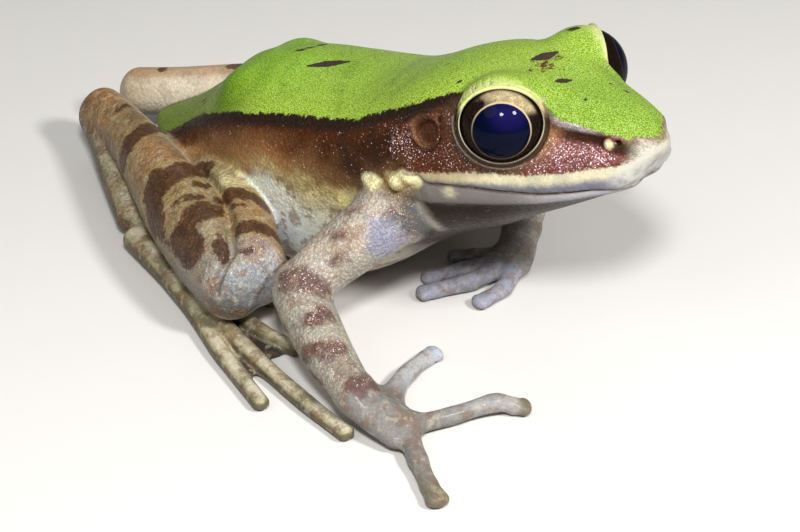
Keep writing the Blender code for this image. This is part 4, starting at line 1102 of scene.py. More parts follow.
def paint_legs(palette, at):
    """Return the hind legs' colours: tan with cream and ochre patches, grey knee, olive feet and dark webs."""
    rough, small, points = at.rough, at.small, at.points
    leg = Paint(palette, len(points), "leg_tan")
    leg.lay("leg_olive", step_up(at.outward, 0.35, 0.85) * step_up(at.down, -0.45, 0.1))
    leg.lay("leg_ochre", near(at.q, (16.8, 51.5, 13.2), 4.5) * 1.1)
    leg.lay("leg_ochre", near(points, (-8.0, 68.0, 11.0), 5.0) * 0.9)
    leg.lay("leg_pale", at.patch((16.9, 37.6, 14.1), 3.2, 0.35, 0.7, 0.7) * 0.9)
    for colour, centre, radius, strength, light in LEG_PATCHES:
        leg.lay(colour, near(at.q, centre, radius) * strength, light)
    leg.lay("leg_cream", step_up(rough + 0.7 * small, 0.08, 0.26) * 0.55)
    leg.lay("leg_olive", step_up(-rough + 0.5 * small, 0.12, 0.3) * 0.5)
    leg.lay("knee", at.patch((27.5, 24.2, 9.5), 5.6, 0.15, 0.7, 0.0, 0.5) * 0.95)
    leg.lay("knee_pink", at.patch((25.9, 25.4, 12.4), 2.4, 0.3, 0.8, 0.5) * 0.8)
    leg.lay("belly", at.under_leg)
    leg.lay("leg_inner", at.inner_leg)
    leg.lay("leg_heel", near(points, (1.0, 74.5, 8.5), 5.0) * at.far_shank)
    leg.lay("leg_ochre", at.far_shank * step_up(-at.down, 0.75, 0.95) * step_up(points[:, 1], 48, 54) * 0.7)
    leg.lay("toe_olive", at.on_tarsus)
    leg.lay("toe_olive", at.on_foot)
    lower = np.clip(at.on_tarsus + at.on_foot, 0, 1)
    leg.lay("toe_dark", lower * step_up(rough + 0.8 * small, 0.02, 0.2) * 0.6)
    leg.lay("toe_dark", lower * step_up(at.down, -0.72, -0.35) * 0.8)
    leg.lay("toe_pale", lower * step_up(-at.down, 0.78, 0.95) * step_up(-rough + 0.5 * small, -0.15, 0.1) * 0.85)
    leg.lay("web", at.on_foot * step_up(at.toe - at.web, -0.05, 0.25))
    return leg.colour


def paint_skin(palette, at):
    """Return the skin's colours, one for each point."""
    paint = Paint(palette, len(at.points), "belly")
    paint_flank(paint, at)
    paint_head(paint, at)
    paint_mouth(paint, at)
    paint_lids(paint, at)
    paint.blend(paint_arms(palette, at), at.on_arm)
    paint.lay("shoulder", step_up(at.armpit + 0.4 * at.small, 0.25, 0.8) * 0.9)
    pale = along_line(at.q, ARMPIT_RIDGE, 0.7) * (1 + at.small)
    paint.lay("arm_pale", pale * step_up(-np.abs(at.points[:, 2] - 18), -6, -4) * 0.75)
    paint.blend(paint_legs(palette, at), at.on_leg)
    # Painted shade in the crease between thigh and shank.
    paint.shade(0.25, along_line(at.q * (-1, 1, 1), CREASE, 0.55) * at.on_leg)
    # Painted shade under the knee.
    paint.shade(0.4, at.on_leg * near(at.q, (30.5, 24.5, 7.0), 3.6))
    return paint.colour


# ------------------------------------------------------------------ measures for the material

def green_place(at):
    """Return how far points lie inside the green back, in millimetres."""
    green = np.where(at.on_body > 0.5, at.above, -3.0) - 6.0 * (at.on_arm + at.on_leg)
    far_ear = 2.5 * near(at.points, (9.5, 8.5, 34.0), 3.6) * at.on_body
    green = np.where(at.points[:, 0] > 0, green + far_ear, green)
    return green - 4.0 * at.by_eye * step_up(-at.edge, -0.62, -0.42)


def bar_place(at):
    """Return how far points lie inside the dark bars and blotches of the hind legs, in millimetres."""
    bars = np.full(len(at.points), -3.0)
    hidden = 3.0 * step_up(-at.outward, 0.1, 0.6) + 3.0 * step_up(at.down, 0.1, 0.5)
    for key, rows in BARS.items():
        distance, along, height = at.limbs["left", key]
        length = at.frog.limbs["left"][key].length.sum()
        away = np.maximum(distance - 0.3, 0) * 3
        for place, half, lean in rows:
            inside = (half - np.abs(along - place - lean * (height - 0.8))) * length - hidden - away
            bars = np.maximum(bars, inside - 1.2 * np.abs(height - 0.65))
    for line, half in LEG_BLOTCHES:
        bars = np.maximum(bars, half - to_line(at.points, line))
    return bars * at.on_leg - 3.0 * (1 - at.on_leg)


def speck_place(at):
    """Return how far points lie inside the pointed specks of the back, in millimetres."""
    specks = np.full(len(at.points), -2.0)
    for a, b, half in SPECKS:
        gap, along = to_segment(at.points, a, b, SPECK_FLAT)
        specks = np.maximum(specks, 1.35 * half * (1 - 0.7 * np.abs(2 * along - 1) ** 1.6) - gap)
    return specks


def fold_depth_and_shade(at):
    """Return the depth of the fold lines across the back, which also darkens them as painted shade, and the painted
    shade of the hip, from 0 to 1.
    """
    points = at.points
    folds = 0.4 * np.max([along_line(points, line, 0.45, 0.4) for line in FOLDS], axis=0)
    rear = points[:, 1] - 0.5 * points[:, 2] + 3 * at.rough
    folds = np.maximum(folds, 0.75 * step_up(rear, 32.0, 46.0))
    return np.maximum(folds, 0.95 * near(points + 2 * at.small[:, None], (-9.8, 46.0, 19.8), 5.0))


def grain_height(at, smooth):
    """Return how strongly the skin is grained: less on lips, lids, hands, feet and belly, more on the glands."""
    grain = 1.0 - 0.75 * smooth * at.on_body
    grain *= 1 - 0.6 * at.hand * at.on_arm
    grain *= 1 - 0.5 * np.clip(at.on_foot + at.under_leg + at.inner_leg, 0, 1) * at.on_leg
    grain *= 1 - 0.5 * at.on_body * step_up(-at.above, 10, 14)
    grain *= 1 - 0.35 * step_up(-np.abs(at.above + 9), -7, -4) * at.on_body * at.torso
    return grain + 0.7 * at.glands * at.on_body


def painted_glint(at, smooth):
    """Return how many grains get a painted glint: most on snout, shoulder and the forearm's blotches."""
    q, snout = at.q, at.snout
    spark = 0.06 * step_up(at.above, -9.0, -5.0) * at.torso + 0.19 * at.head * (1 - snout)
    spark += 0.55 * near(q, (13.6, 12.0, 28.5), 2.6) + 0.16 * near(q, (12.8, 3.0, 28.5), 3.0)
    spark *= step_up(-at.above, 0.6, 1.6)
    spark += snout * (0.56 + 0.3 * near(q, (5.6, -13.0, 31.9), 2.0)) * step_up(-at.above - at.stripe, 0.0, 0.5)
    spark *= (1 - smooth) * (1 - step_up(-at.ear_flat, -2.3, -1.9) * at.on_ear)
    spark += snout * 0.6 * step_up(-at.above, -0.15, 0.25) * at.ridge
    spark *= at.on_body
    arm = sum(near(at.points, centre, radius) for centre, radius in ARM_GLINTS)
    spark += at.on_arm * (1 - at.hand) * (0.08 + 0.4 * arm)
    spark += at.on_leg * (0.3 * near(at.points, (-26.0, 25.2, 12.4), 2.6) + 0.02)
    return np.clip(spark + 0.14 * np.clip(at.armpit, 0, 1), 0, 1)


def skin_measures(at):
    """Return the measures that the skin's material breaks up with its own fine noise."""
    smooth = at.head * step_up(-at.lip, -0.2, 0.3) + at.by_eye * step_up(-at.edge, -1.2, -0.6)
    smooth = np.clip(smooth, 0, 1)
    mottle = at.on_body * step_up(-at.brown, 5.5, 7.5) * at.torso + 0.9 * at.on_leg + 0.7 * at.on_arm
    mottle *= (1 - 0.9 * smooth * at.on_body) * (1 - 0.6 * at.inner_leg * at.on_leg)
    edge = np.where((at.by_eye > 0.02) & (at.out > -1.0), at.edge, 9.0)
    forward = np.where(at.head * at.on_body > 0.5, -at.y, -99.0)
    return {
        "green": green_place(at), "bars": bar_place(at), "specks": speck_place(at), "folds": fold_depth_and_shade(at),
        "grain": grain_height(at, smooth), "spark": painted_glint(at, smooth), "mottle": np.clip(mottle, 0, 1),
        "lid": np.column_stack([at.across, at.up, edge]), "lips": np.column_stack([at.mouth, at.lip, forward]),
    }


def keep_measures(mesh, colour, measures):
    """Keep the painted colours and measures on the mesh."""
    layer = mesh.attributes.new("paint", "FLOAT_COLOR", "POINT")
    layer.data.foreach_set("color", np.column_stack([colour, np.ones(len(colour))]).astype(np.float32).ravel())
    for name, values in measures.items():
        kind, field = ("FLOAT", "value") if values.ndim == 1 else ("FLOAT_VECTOR", "vector")
        layer = mesh.attributes.new(name, kind, "POINT")
        layer.data.foreach_set(field, values.astype(np.float32).ravel())


# ------------------------------------------------------------------ materials

class Finish:
    """A material under construction."""

    def __init__(self, name, palette):
        self.material = bpy.data.materials.new(name)
        self.material.use_nodes = True
        self.tree = self.material.node_tree
        self.shader = self.tree.nodes["Principled BSDF"]
        self.place = self.tree.nodes.new("ShaderNodeTexCoord").outputs["Object"]
        self.palette = palette

    def put(self, socket, value):
        """Link an output to a socket, or set the socket."""
        if isinstance(value, bpy.types.NodeSocket):
            self.tree.links.new(value, socket)
        else:
            socket.default_value = value

    def set(self, **values):
        """Set the shader's own sockets by name."""
        for name, value in values.items():
            self.put(self.shader.inputs[name.replace("_", " ")], value)

    def attribute(self, name, output="Fac"):
        """Read a measure kept on the mesh."""
        node = self.tree.nodes.new("ShaderNodeAttribute")
        node.attribute_name = name
        return node.outputs[output]

    def math(self, operation, a, b=0.0):
        """Work out a number."""
        node = self.tree.nodes.new("ShaderNodeMath")
        node.operation = operation
        self.put(node.inputs[0], a)
        self.put(node.inputs[1], b)
        return node.outputs[0]

    def times(self, first, *others):
        """Multiply numbers."""
        for other in others:
            first = self.math("MULTIPLY", first, other)
        return first

    def plus(self, a, b):
        """Add two numbers."""
        return self.math("ADD", a, b)

    def less(self, a, b):
        """Take one number from another."""
        return self.math("SUBTRACT", a, b)

    def stray(self, value, noise, amount):
        """Move a value up and down by a noise."""
        return self.plus(value, self.times(self.less(noise, 0.5), amount))

    def rise(self, value, low, high, start=0.0, end=1.0):
        """Rise softly between two values."""
        node = self.tree.nodes.new("ShaderNodeMapRange")
        node.interpolation_type = "SMOOTHSTEP"
        for socket, item in zip(node.inputs, (value, low, high, start, end)):
            self.put(socket, item)
        return node.outputs[0]

    def band(self, value, middle, half, soft):
        """Return 1 where a value is within a band, with soft edges."""
        gap = self.math("ABSOLUTE", self.less(value, middle))
        return self.rise(gap, half + soft, half - soft if half > soft else 0.0)

    def tone(self, colour):
        """Return a socket as it is, and a palette name or three numbers as a colour."""
        if isinstance(colour, bpy.types.NodeSocket):
            return colour
        return (*(self.palette[colour] if isinstance(colour, str) else colour), 1.0)

    def mix(self, a, b, amount, kind="MIX"):
        """Mix two colours."""
        node = self.tree.nodes.new("ShaderNodeMix")
        node.data_type = "RGBA"
        node.blend_type = kind
        self.put(node.inputs["Factor"], amount)
        self.put(node.inputs["A"], self.tone(a))
        self.put(node.inputs["B"], self.tone(b))
        return node.outputs["Result"]

    def dim(self, colour, light, amount):
        """Multiply a colour by a lighter or darker tone where amount is 1."""
        return self.mix(colour, light, amount, "MULTIPLY")

    def noise(self, size, detail=3.0, rough=0.55):
        """Read cloudy noise of a size in millimetres."""
        node = self.tree.nodes.new("ShaderNodeTexNoise")
        for name, value in (("Scale", 1 / (size * MM)), ("Detail", detail), ("Roughness", rough)):
            node.inputs[name].default_value = value
        self.tree.links.new(self.place, node.inputs["Vector"])
        return node.outputs["Fac"]

    def parts(self, value):
        """Split a direction or colour into its three numbers."""
        node = self.tree.nodes.new("ShaderNodeSeparateXYZ")
        self.tree.links.new(value, node.inputs[0])
        return node.outputs[0], node.outputs[1], node.outputs[2]

    def cells(self, size):
        """Read round grains of a size in millimetres: distance from the middle, and two numbers for each grain."""
        node = self.tree.nodes.new("ShaderNodeTexVoronoi")
        node.inputs["Scale"].default_value = 1 / (size * MM)
        node.inputs["Randomness"].default_value = 0.9
        self.tree.links.new(self.place, node.inputs["Vector"])
        return node.outputs["Distance"], *self.parts(node.outputs["Color"])[:2]

    def bump(self, height, strength, depth, before=None):
        """Raise the surface by a height."""
        node = self.tree.nodes.new("ShaderNodeBump")
        node.inputs["Distance"].default_value = depth * MM
        self.put(node.inputs["Strength"], strength)
        self.put(node.inputs["Height"], height)
        if before is not None:
            self.tree.links.new(before, node.inputs["Normal"])
        return node.outputs["Normal"]


class SkinFinish(Finish):
    """The skin's material: grained green back, mottled flanks and legs, pale lips, lid rims, with painted glints for
    the wet skin's sparkle, painted highlights on grains and painted shade between grains, in the fold lines and at
    the hip.
    """

    def __init__(self, palette, sizes):
        super().__init__("skin", palette)
        for name in ("green", "bars", "specks", "grain", "spark", "mottle", "folds"):
            setattr(self, name, self.attribute(name))
        self.mouth, self.lip, self.forward = self.parts(self.attribute("lips", "Vector"))
        self.across, self.up, self.edge = self.parts(self.attribute("lid", "Vector"))
        self.fine, self.middle, self.broad = self.noise(0.45, 2.0), self.noise(1.3, 4.0), self.noise(5.0, 3.0)
        self.patch = self.noise(2.2, 4.0, 0.6)
        self.dot_far, self.dot_kind, self.dot_light = self.cells(sizes.grain_size / MM)
        self.wart_far, _, _ = self.cells(sizes.wart_size / MM)

    def wobble(self, value, small, large):
        """Make the edge that a value draws uneven, by a small and a larger noise."""
        return self.stray(self.stray(value, self.fine, small), self.middle, large)

    def flanks_and_limbs(self):
        """Return the painted colour with its mottling, bars and painted shade in the gaps between warts and grains.
        """
        paint, mottle, grain = self.attribute("paint", "Color"), self.mottle, self.grain
        dark = self.mix(paint, "mottle_dark", 0.62)
        colour = self.mix(paint, dark, self.times(self.rise(self.patch, 0.50, 0.60), mottle))
        light = self.times(self.rise(self.middle, 0.54, 0.66), mottle, 0.6)
        colour = self.mix(colour, self.mix(paint, "mottle_pale", 0.5), light)
        colour = self.dim(colour, LIGHT_PATCH, self.times(self.rise(self.broad, 0.45, 0.65), grain, 0.4))
        bars = self.wobble(self.bars, 1.2, 2.2)
        colour = self.mix(colour, "leg_cream", self.times(self.band(bars, -0.7, 0.35, 0.3), 0.45))
        bar = self.mix("bar", "bar_light", self.rise(self.middle, 0.42, 0.62))
        colour = self.mix(colour, bar, self.times(self.rise(bars, -0.30, 0.25), 0.9))
        # Painted shade in the gaps between warts and between grains.
        colour = self.dim(colour, WART_GAP_SHADE, self.times(self.rise(self.wart_far, 0.35, 0.80), grain, 0.6))
        colour = self.dim(colour, GRAIN_GAP_SHADE, self.times(self.rise(self.dot_far, 0.3, 0.7), grain, 0.7))
        return self.dim(colour, BRIGHT_GRAIN, self.times(self.rise(self.dot_light, 0.62, 0.95), grain, 0.55))

    def add_painted_glints(self, colour):
        """Paint a highlight on single grains: painted glints."""
        chance = self.times(self.spark, self.rise(self.patch, 0.40, 0.58, 0.45, 1.15))
        glint = self.rise(self.less(self.dot_far, self.times(self.spark, 0.25)), 0.58, 0.22)
        glint = self.times(self.rise(self.plus(self.dot_kind, chance), 0.97, 1.05), glint)
        glint = self.times(glint, self.rise(self.dot_light, 0.0, 1.0, 0.45, 1.0))
        return self.mix(colour, self.mix("painted_glint_warm", "painted_glint", self.rise(self.dot_light, 0.55, 0.95)), glint)

    def add_lips(self, colour):
        """Lay on the upper lip, cream above and grey below, and the line of the mouth."""
        forward, lip = self.forward, self.lip
        tone = self.mix("lip_grey", "lip_cream", self.rise(self.wobble(lip, 0.5, 0.8), -1.75, -0.7))
        tone = self.dim(tone, LIP_PATCH, self.rise(self.patch, 0.40, 0.62))
        # Painted shade in the gaps between the lip's grains.
        tone = self.dim(tone, LIP_GRAIN_GAP_SHADE, self.rise(self.dot_far, 0.3, 0.7, 0.0, 0.5))
        tip = self.times(self.rise(forward, 13.8, 16.4), self.rise(self.middle, 0.35, 0.6, 0.45, 0.9))
        tone = self.mix(tone, "snout", tip)
        tone = self.dim(tone, LIP_REAR, self.rise(forward, 3.0, -6.5))
        tone = self.dim(tone, LIP_FRONT, self.rise(forward, 0.0, 7.0))
        on_head = self.rise(forward, -50.0, -49.0)
        upper = self.times(self.rise(self.mouth, 0.0, 0.12), self.rise(self.wobble(lip, 0.7, 0.5), 0.16, -0.22))
        upper = self.times(upper, self.rise(self.wobble(self.edge, 0.2, 0.3), 0.95, 1.30), on_head)
        colour = self.mix(colour, tone, upper)
        return self.mix(colour, "mouth_line", self.times(self.band(self.mouth, 0.0, 0.07, 0.16), on_head, 0.75))

    def green_back(self):
        """Return the back's green with its grains, painted shade between them and painted highlights on some, painted
        shade in the fold lines and at the hip, pale lids and dark specks.
        """
        back = self.mix("green", "green_light", self.rise(self.broad, 0.35, 0.68))
        back = self.mix(back, "green_yellow", self.rise(self.wobble(self.green, 1.0, 3.0), 4.5, 0.4))
        # Painted shade in the gaps between grains, then painted highlights on some grains.
        back = self.mix(back, "green_gap_shade", self.rise(self.dot_far, 0.30, 0.70, 0.0, 0.85))
        lit = self.times(self.rise(self.dot_kind, 0.40, 0.9), self.rise(self.dot_far, 0.55, 0.1), 0.6)
        back = self.mix(back, "green_grain_highlight", lit)
        # Painted shade in the fold lines and at the hip.
        back = self.dim(back, FOLD_SHADE, self.folds)
        back = self.dim(back, SNOUT_SHADE, self.rise(self.forward, -6.0, 9.0))
        lid = self.mix("lid_pale", "lid_cream", self.rise(self.wobble(self.edge, 0.3, 0.3), 0.85, 0.5))
        near_lid = self.times(self.rise(self.wobble(self.edge, 0.5, 0.6), 1.15, 0.50), self.rise(self.up, 0.8, 2.6))
        back = self.mix(back, lid, self.times(near_lid, 0.85))
        return self.mix(back, "speck", self.rise(self.wobble(self.specks, 0.45, 0.45), -0.08, 0.10))

    def add_lid_rims(self, colour):
        """Lay on the gold rim of the lids, the dark ring round it and a painted highlight along the fold behind the
        lower lid.
        """
        low_rear = self.rise(self.less(self.times(self.across, 0.9), self.up), 0.5, 3.5)
        ring = self.times(self.band(self.edge, 0.60, 0.34, 0.12), self.rise(self.up, 2.6, 0.8), 0.9)
        colour = self.mix(colour, "border", ring)
        # A painted highlight along the edge of the fold behind the lower lid.
        second = self.band(self.wobble(self.edge, 0.1, 0.2), 1.02, 0.07, 0.10)
        colour = self.mix(colour, "lid_fold_highlight", self.times(second, low_rear, 0.6))
        rim = self.mix("border", "lid_gold", self.rise(self.up, -4.4, -0.5, 0.15, 1.0))
        colour = self.mix(colour, rim, self.rise(self.edge, 0.32, 0.25))
        return self.mix(colour, "border", self.rise(self.edge, 0.20, 0.14))

    def grained_surface(self):
        """Return the bump of grains, warts and folds."""
        normal = self.bump(self.times(self.rise(self.dot_far, 0.75, 0.0), self.grain), 0.7, 0.05)
        off_back = self.times(self.grain, self.rise(self.green, 0.3, -0.3))
        normal = self.bump(self.times(self.rise(self.wart_far, 0.75, 0.1), off_back), 0.8, 0.10, normal)
        return self.bump(self.less(self.middle, self.rise(self.folds, 0.0, 0.4, 0.0, 0.8)), 0.5, 0.12, normal)

    def finish(self):
        """Join everything in the shader and return the material."""
        under = self.add_lips(self.add_painted_glints(self.flanks_and_limbs()))
        colour = self.mix(under, self.green_back(), self.rise(self.wobble(self.green, 0.9, 0.8), -0.10, 0.12))
        self.set(Base_Color=self.add_lid_rims(colour), Roughness=self.rise(self.fine, 0.3, 0.7, 0.34, 0.52),
                 Normal=self.grained_surface(), IOR=1.40, Specular_IOR_Level=0.18, Coat_Weight=0.07,
                 Coat_Roughness=0.16, Subsurface_Weight=0.08, Subsurface_Scale=0.0012,
                 Subsurface_Radius=(1.0, 0.5, 0.3))
        return self.material


class EyeFinish(Finish):
    """The eye's material: large dark pupil with a painted glow, thin gold ring, brown iris with a pale upper part,
    wet coat; the far eye is painted darker as painted shade.
    """

    def __init__(self, palette):
        super().__init__("eye", palette)
        self.across, self.up, self.pale = self.parts(self.attribute("iris", "Vector"))
        self.far = self.math("SQRT", self.plus(self.times(self.across, self.across), self.times(self.up, self.up)))
        self.ahead = self.less(self.up, self.times(self.across, 0.35))
        self.fine, self.streak = self.noise(0.16, 3.0), self.noise(0.8, 4.0)

    def iris(self, uneven):
        """Return the iris: brown, gold in its upper part, with a bright ring round the pupil; on the far eye all of
        it is darkened as painted shade.
        """
        pale, far, streak = self.pale, self.far, self.streak
        brown = self.mix("iris_dark", "iris_brown", self.rise(self.fine, 0.50, 0.70))
        gold = self.mix("iris_gold", "iris_brown", self.rise(self.fine, 0.40, 0.66, 0.0, 0.6))
        gold = self.mix(gold, "iris_tan", self.rise(streak, 0.38, 0.62))
        top = self.times(self.rise(self.stray(self.ahead, streak, 2.6), 2.3, 3.7), pale, self.rise(self.up, 1.6, 2.6))
        colour = self.mix(brown, gold, self.times(top, self.rise(far, 4.75, 4.45)))
        colour = self.mix(colour, "iris_dark", self.rise(far, 4.5, 4.9))
        ring = self.times(self.rise(uneven, 3.42, 3.47), self.rise(uneven, 3.66, 3.54))
        shine = self.rise(self.plus(self.ahead, streak), -3.0, 4.4, 0.12, 1.0)
        colour = self.mix(colour, "iris_ring", self.times(ring, shine, self.rise(pale, 0, 1, 0.12, 1)))
        # Painted shade: the far eye's iris is darkened.
        return self.mix(colour, "iris_dark", self.rise(pale, 1, 0, 0.0, 0.7))

    def pupil(self):
        """Return the pupil: nearly black, with a painted blue glow above round the reflections of the lamps, on the
        near eye only.
        """
        aside, above = self.plus(self.across, 0.9), self.less(self.up, 2.1)
        apart = self.plus(self.times(aside, aside, 0.6), self.times(above, above))
        glow = self.math("POWER", self.rise(apart, 8.0, 0.0), 2.0)
        return self.mix("pupil", "painted_pupil_glow", self.times(glow, self.pale))

    def finish(self):
        """Join pupil and iris in the shader and return the material."""
        uneven = self.stray(self.far, self.streak, 0.10)
        colour = self.mix(self.pupil(), self.iris(uneven), self.rise(uneven, 3.38, 3.44))
        self.set(Base_Color=colour, Roughness=0.4, IOR=1.30, Specular_IOR_Level=0.02, Coat_Weight=0.20,
                 Coat_Roughness=0.02, Coat_IOR=1.35)
        return self.material


def floor_finish(palette):
    """Make the plain pale floor's material."""
    f = Finish("floor", palette)
    f.set(Base_Color=f.mix("floor", "floor_light", f.noise(60.0, 4.0)), Roughness=0.75)
    return f.material


# ------------------------------------------------------------------ sizes and colours

class FrogSizes(bpy.types.PropertyGroup):
    """Sizes of the skin and eyes."""

    eye_radius: FloatProperty(name="Eye radius", description="Radius of the eyeball", default=0.0053,
                              unit="LENGTH", precision=5)
    lid_thickness: FloatProperty(name="Lid thickness", description="Thickness of the lid over the eyeball",
                                 default=0.0005, unit="LENGTH", precision=5)
    lid_opening: FloatProperty(name="Lid opening", description="Height of the lid's edge above the eye's middle",
                               default=0.0021, unit="LENGTH", precision=5)
    skin_step: FloatProperty(name="Skin step", description="Spacing of the points that the skin starts from",
                             default=0.00042, unit="LENGTH", precision=5)
    skin_faces: IntProperty(name="Skin faces", default=168000,
                            description="Number of triangles kept before the edges of the markings are refined")
    grain_size: FloatProperty(name="Grain size", description="Spacing of the fine grains of the skin",
                              default=0.000165, unit="LENGTH", precision=6)
    wart_size: FloatProperty(name="Wart size", description="Spacing of the low warts of the skin",
                             default=0.0005, unit="LENGTH", precision=5)


def shade(name, red, green, blue):
    """Describe one colour that the user may change."""
    return FloatVectorProperty(name=name, description=f"Colour of the {name.lower()}", subtype="COLOR", size=3,
                               min=0.0, max=1.0, default=(red, green, blue))


class FrogColours(bpy.types.PropertyGroup):
    """Colours of the skin, eyes and floor."""

    green: shade("Back", 0.22, 0.385, 0.008)
    green_light: shade("Lighter parts of the back", 0.29, 0.50, 0.026)
    green_yellow: shade("Edge of the back", 0.36, 0.50, 0.045)
    # Painted shade between the back's grains, and painted highlights on them.
    green_gap_shade: shade("Gaps between grains", 0.105, 0.20, 0.014)
    green_grain_highlight: shade("Bright grains", 0.60, 0.80, 0.34)
    speck: shade("Dark specks", 0.030, 0.020, 0.012)
    border: shade("Line under the back", 0.018, 0.009, 0.005)
    flank_dark: shade("Upper flank", 0.058, 0.016, 0.002)
    # Painted shade in the flank's fold lines and under the long gland.
    flank_fold_shade: shade("Folds of the flank", 0.026, 0.010, 0.005)
    flank_brown: shade("Flank", 0.17, 0.082, 0.030)
    flank_olive: shade("Lower flank", 0.38, 0.31, 0.13)
    flank_yellow: shade("Yellow patches", 0.72, 0.66, 0.30)
    flank_cream: shade("Lowest flank", 0.74, 0.72, 0.54)
    groin: shade("Groin", 0.66, 0.70, 0.58)
    groin_blue: shade("Blue parts of the groin", 0.72, 0.82, 0.92)
    belly: shade("Belly", 0.60, 0.57, 0.50)
    # Painted shade: the throat is painted nearly black-brown for the shade under the jaw.
    throat: shade("Throat", 0.017, 0.009, 0.005)
    mask: shade("Side of the head", 0.080, 0.024, 0.007)
    loreal: shade("Side of the snout", 0.14, 0.048, 0.046)
    loreal_dark: shade("Dark stripe of the snout", 0.034, 0.009, 0.003)
    # Painted highlight along the ridge of the snout.
    ridge_highlight: shade("Ridge of the snout", 0.56, 0.53, 0.55)
    eye_side: shade("Skin round the eye", 0.10, 0.055, 0.030)
    eye_front: shade("Skin before the eye", 0.28, 0.14, 0.06)
    ear: shade("Ear", 0.062, 0.022, 0.008)
    # The ear's rim; on its lower rear side it stands in as a painted highlight.
    ear_rim_and_highlight: shade("Ear's rim", 0.19, 0.088, 0.040)
    lip_cream: shade("Upper edge of the lip", 0.66, 0.60, 0.38)
    lip_grey: shade("Upper lip", 0.185, 0.185, 0.215)
    # Painted shade: the lower lip's greys are darkened for the shade under the jaw, the rear one more.
    lower_lip: shade("Lower lip", 0.15, 0.135, 0.125)
    lower_lip_front: shade("Front of the lower lip", 0.29, 0.285, 0.305)
    lip_spot: shade("Spot on the lower lip", 0.60, 0.56, 0.36)
    mouth_line: shade("Mouth line", 0.17, 0.13, 0.11)
    snout: shade("Tip of the snout", 0.58, 0.57, 0.47)
    nostril: shade("Nostril", 0.86, 0.74, 0.48)
    nostril_rim: shade("Rim of the nostril", 0.40, 0.36, 0.14)
    gland: shade("Glands", 0.64, 0.62, 0.36)
    # Painted shade under and between the glands.
    gland_shade: shade("Lower side of the glands", 0.26, 0.17, 0.05)
    lid_pale: shade("Upper lid", 0.51, 0.56, 0.18)
    lid_cream: shade("Edge of the upper lid", 0.47, 0.45, 0.26)
    lid_front: shade("Front of the lid", 0.34, 0.22, 0.14)
    lid_gold: shade("Edge of the lid", 0.38, 0.38, 0.24)
    # A painted highlight on the fold behind the lower lid.
    lid_fold_highlight: shade("Lower lid", 0.17, 0.165, 0.12)
    arm_pale: shade("Upper arm", 0.365, 0.345, 0.295)
    arm_tan: shade("Brown mottling of the arm", 0.26, 0.19, 0.13)
    arm_bar: shade("Bars on the arm", 0.095, 0.048, 0.042)
    arm_lavender: shade("Inner arm", 0.25, 0.27, 0.37)
    shoulder: shade("Shoulder", 0.10, 0.10, 0.095)
    forearm: shade("Forearm", 0.33, 0.32, 0.27)
    hand: shade("Hand", 0.19, 0.18, 0.17)
    finger: shade("Fingers", 0.35, 0.355, 0.355)
    finger_blue: shade("Bluish finger tip", 0.38, 0.42, 0.50)
    hand_grey: shade("Grey parts of the hand", 0.145, 0.145, 0.125)
    finger_tip: shade("Finger tips", 0.14, 0.125, 0.080)
    leg_tan: shade("Hind leg", 0.235, 0.148, 0.058)
    leg_pale: shade("Pale edge of the thigh", 0.52, 0.52, 0.30)
    leg_ochre: shade("Ochre patches", 0.33, 0.19, 0.08)
    leg_cream: shade("Pale patches", 0.33, 0.28, 0.14)
    leg_olive: shade("Lower edge of the shank", 0.15, 0.12, 0.08)
    leg_inner: shade("Inner side of the shank", 0.56, 0.50, 0.39)
    leg_heel: shade("Heel of the far leg", 0.36, 0.29, 0.19)
    knee: shade("Knee", 0.31, 0.34, 0.36)
    knee_pink: shade("Pink of the knee", 0.22, 0.155, 0.150)
    toe_olive: shade("Toes", 0.34, 0.31, 0.19)
    toe_dark: shade("Dark mottling of the toes", 0.060, 0.050, 0.028)
    toe_pale: shade("Pale stripe of the toes", 0.50, 0.47, 0.36)
    web: shade("Webs", 0.045, 0.038, 0.036)
    mottle_dark: shade("Dark mottling", 0.16, 0.085, 0.045)
    mottle_pale: shade("Pale mottling", 0.62, 0.56, 0.40)
    bar: shade("Bars on the legs", 0.046, 0.017, 0.006)
    bar_light: shade("Lighter parts of the bars", 0.080, 0.032, 0.011)
    # Painted glints: highlights painted on single grains.
    painted_glint: shade("Sparkling grains", 0.72, 0.62, 0.70)
    painted_glint_warm: shade("Warm sparkling grains", 0.44, 0.23, 0.20)
    pupil: shade("Pupil", 0.0005, 0.0020, 0.0100)
    # A painted glow in the pupil round the reflections of the lamps.
    painted_pupil_glow: shade("Glow in the pupil", 0.0045, 0.0035, 0.042)
    iris_dark: shade("Dark iris", 0.005, 0.003, 0.003)
    iris_brown: shade("Brown iris", 0.040, 0.017, 0.010)
    iris_gold: shade("Golden iris", 0.46, 0.38, 0.20)
    iris_tan: shade("Tan parts of the iris", 0.25, 0.19, 0.11)
    iris_ring: shade("Ring round the pupil", 0.42, 0.34, 0.19)
    floor: shade("Floor", 0.60, 0.58, 0.55)
    floor_light: shade("Lighter parts of the floor", 0.64, 0.62, 0.59)


def palette_of(context):
    """Return the scene's colours by name."""
    colours = context.scene.frog_colours
    return {name: np.array(getattr(colours, name)) for name in FrogColours.__annotations__}


class FROG_OT_skin(bpy.types.Operator):
    """Make the skin over the whole body"""

    bl_idname = "frog.skin"
    bl_label = "Skin"

    def execute(self, context):
        sizes, palette = context.scene.frog_sizes, palette_of(context)
        body, frog = make_skin_body(sizes)
        points = points_of(body.data)
        places = Places(frog, points, normals_of(body.data))
        keep_measures(body.data, paint_skin(palette, places), skin_measures(places))
        set_points(body.data, points * MM + np.array(origin()))
        choose(body)
        bpy.ops.object.shade_smooth()
        body.data.materials.append(SkinFinish(palette, sizes).finish())
        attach(body, "root")
        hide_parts(*[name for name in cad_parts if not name.startswith("eye")])
        return {"FINISHED"}


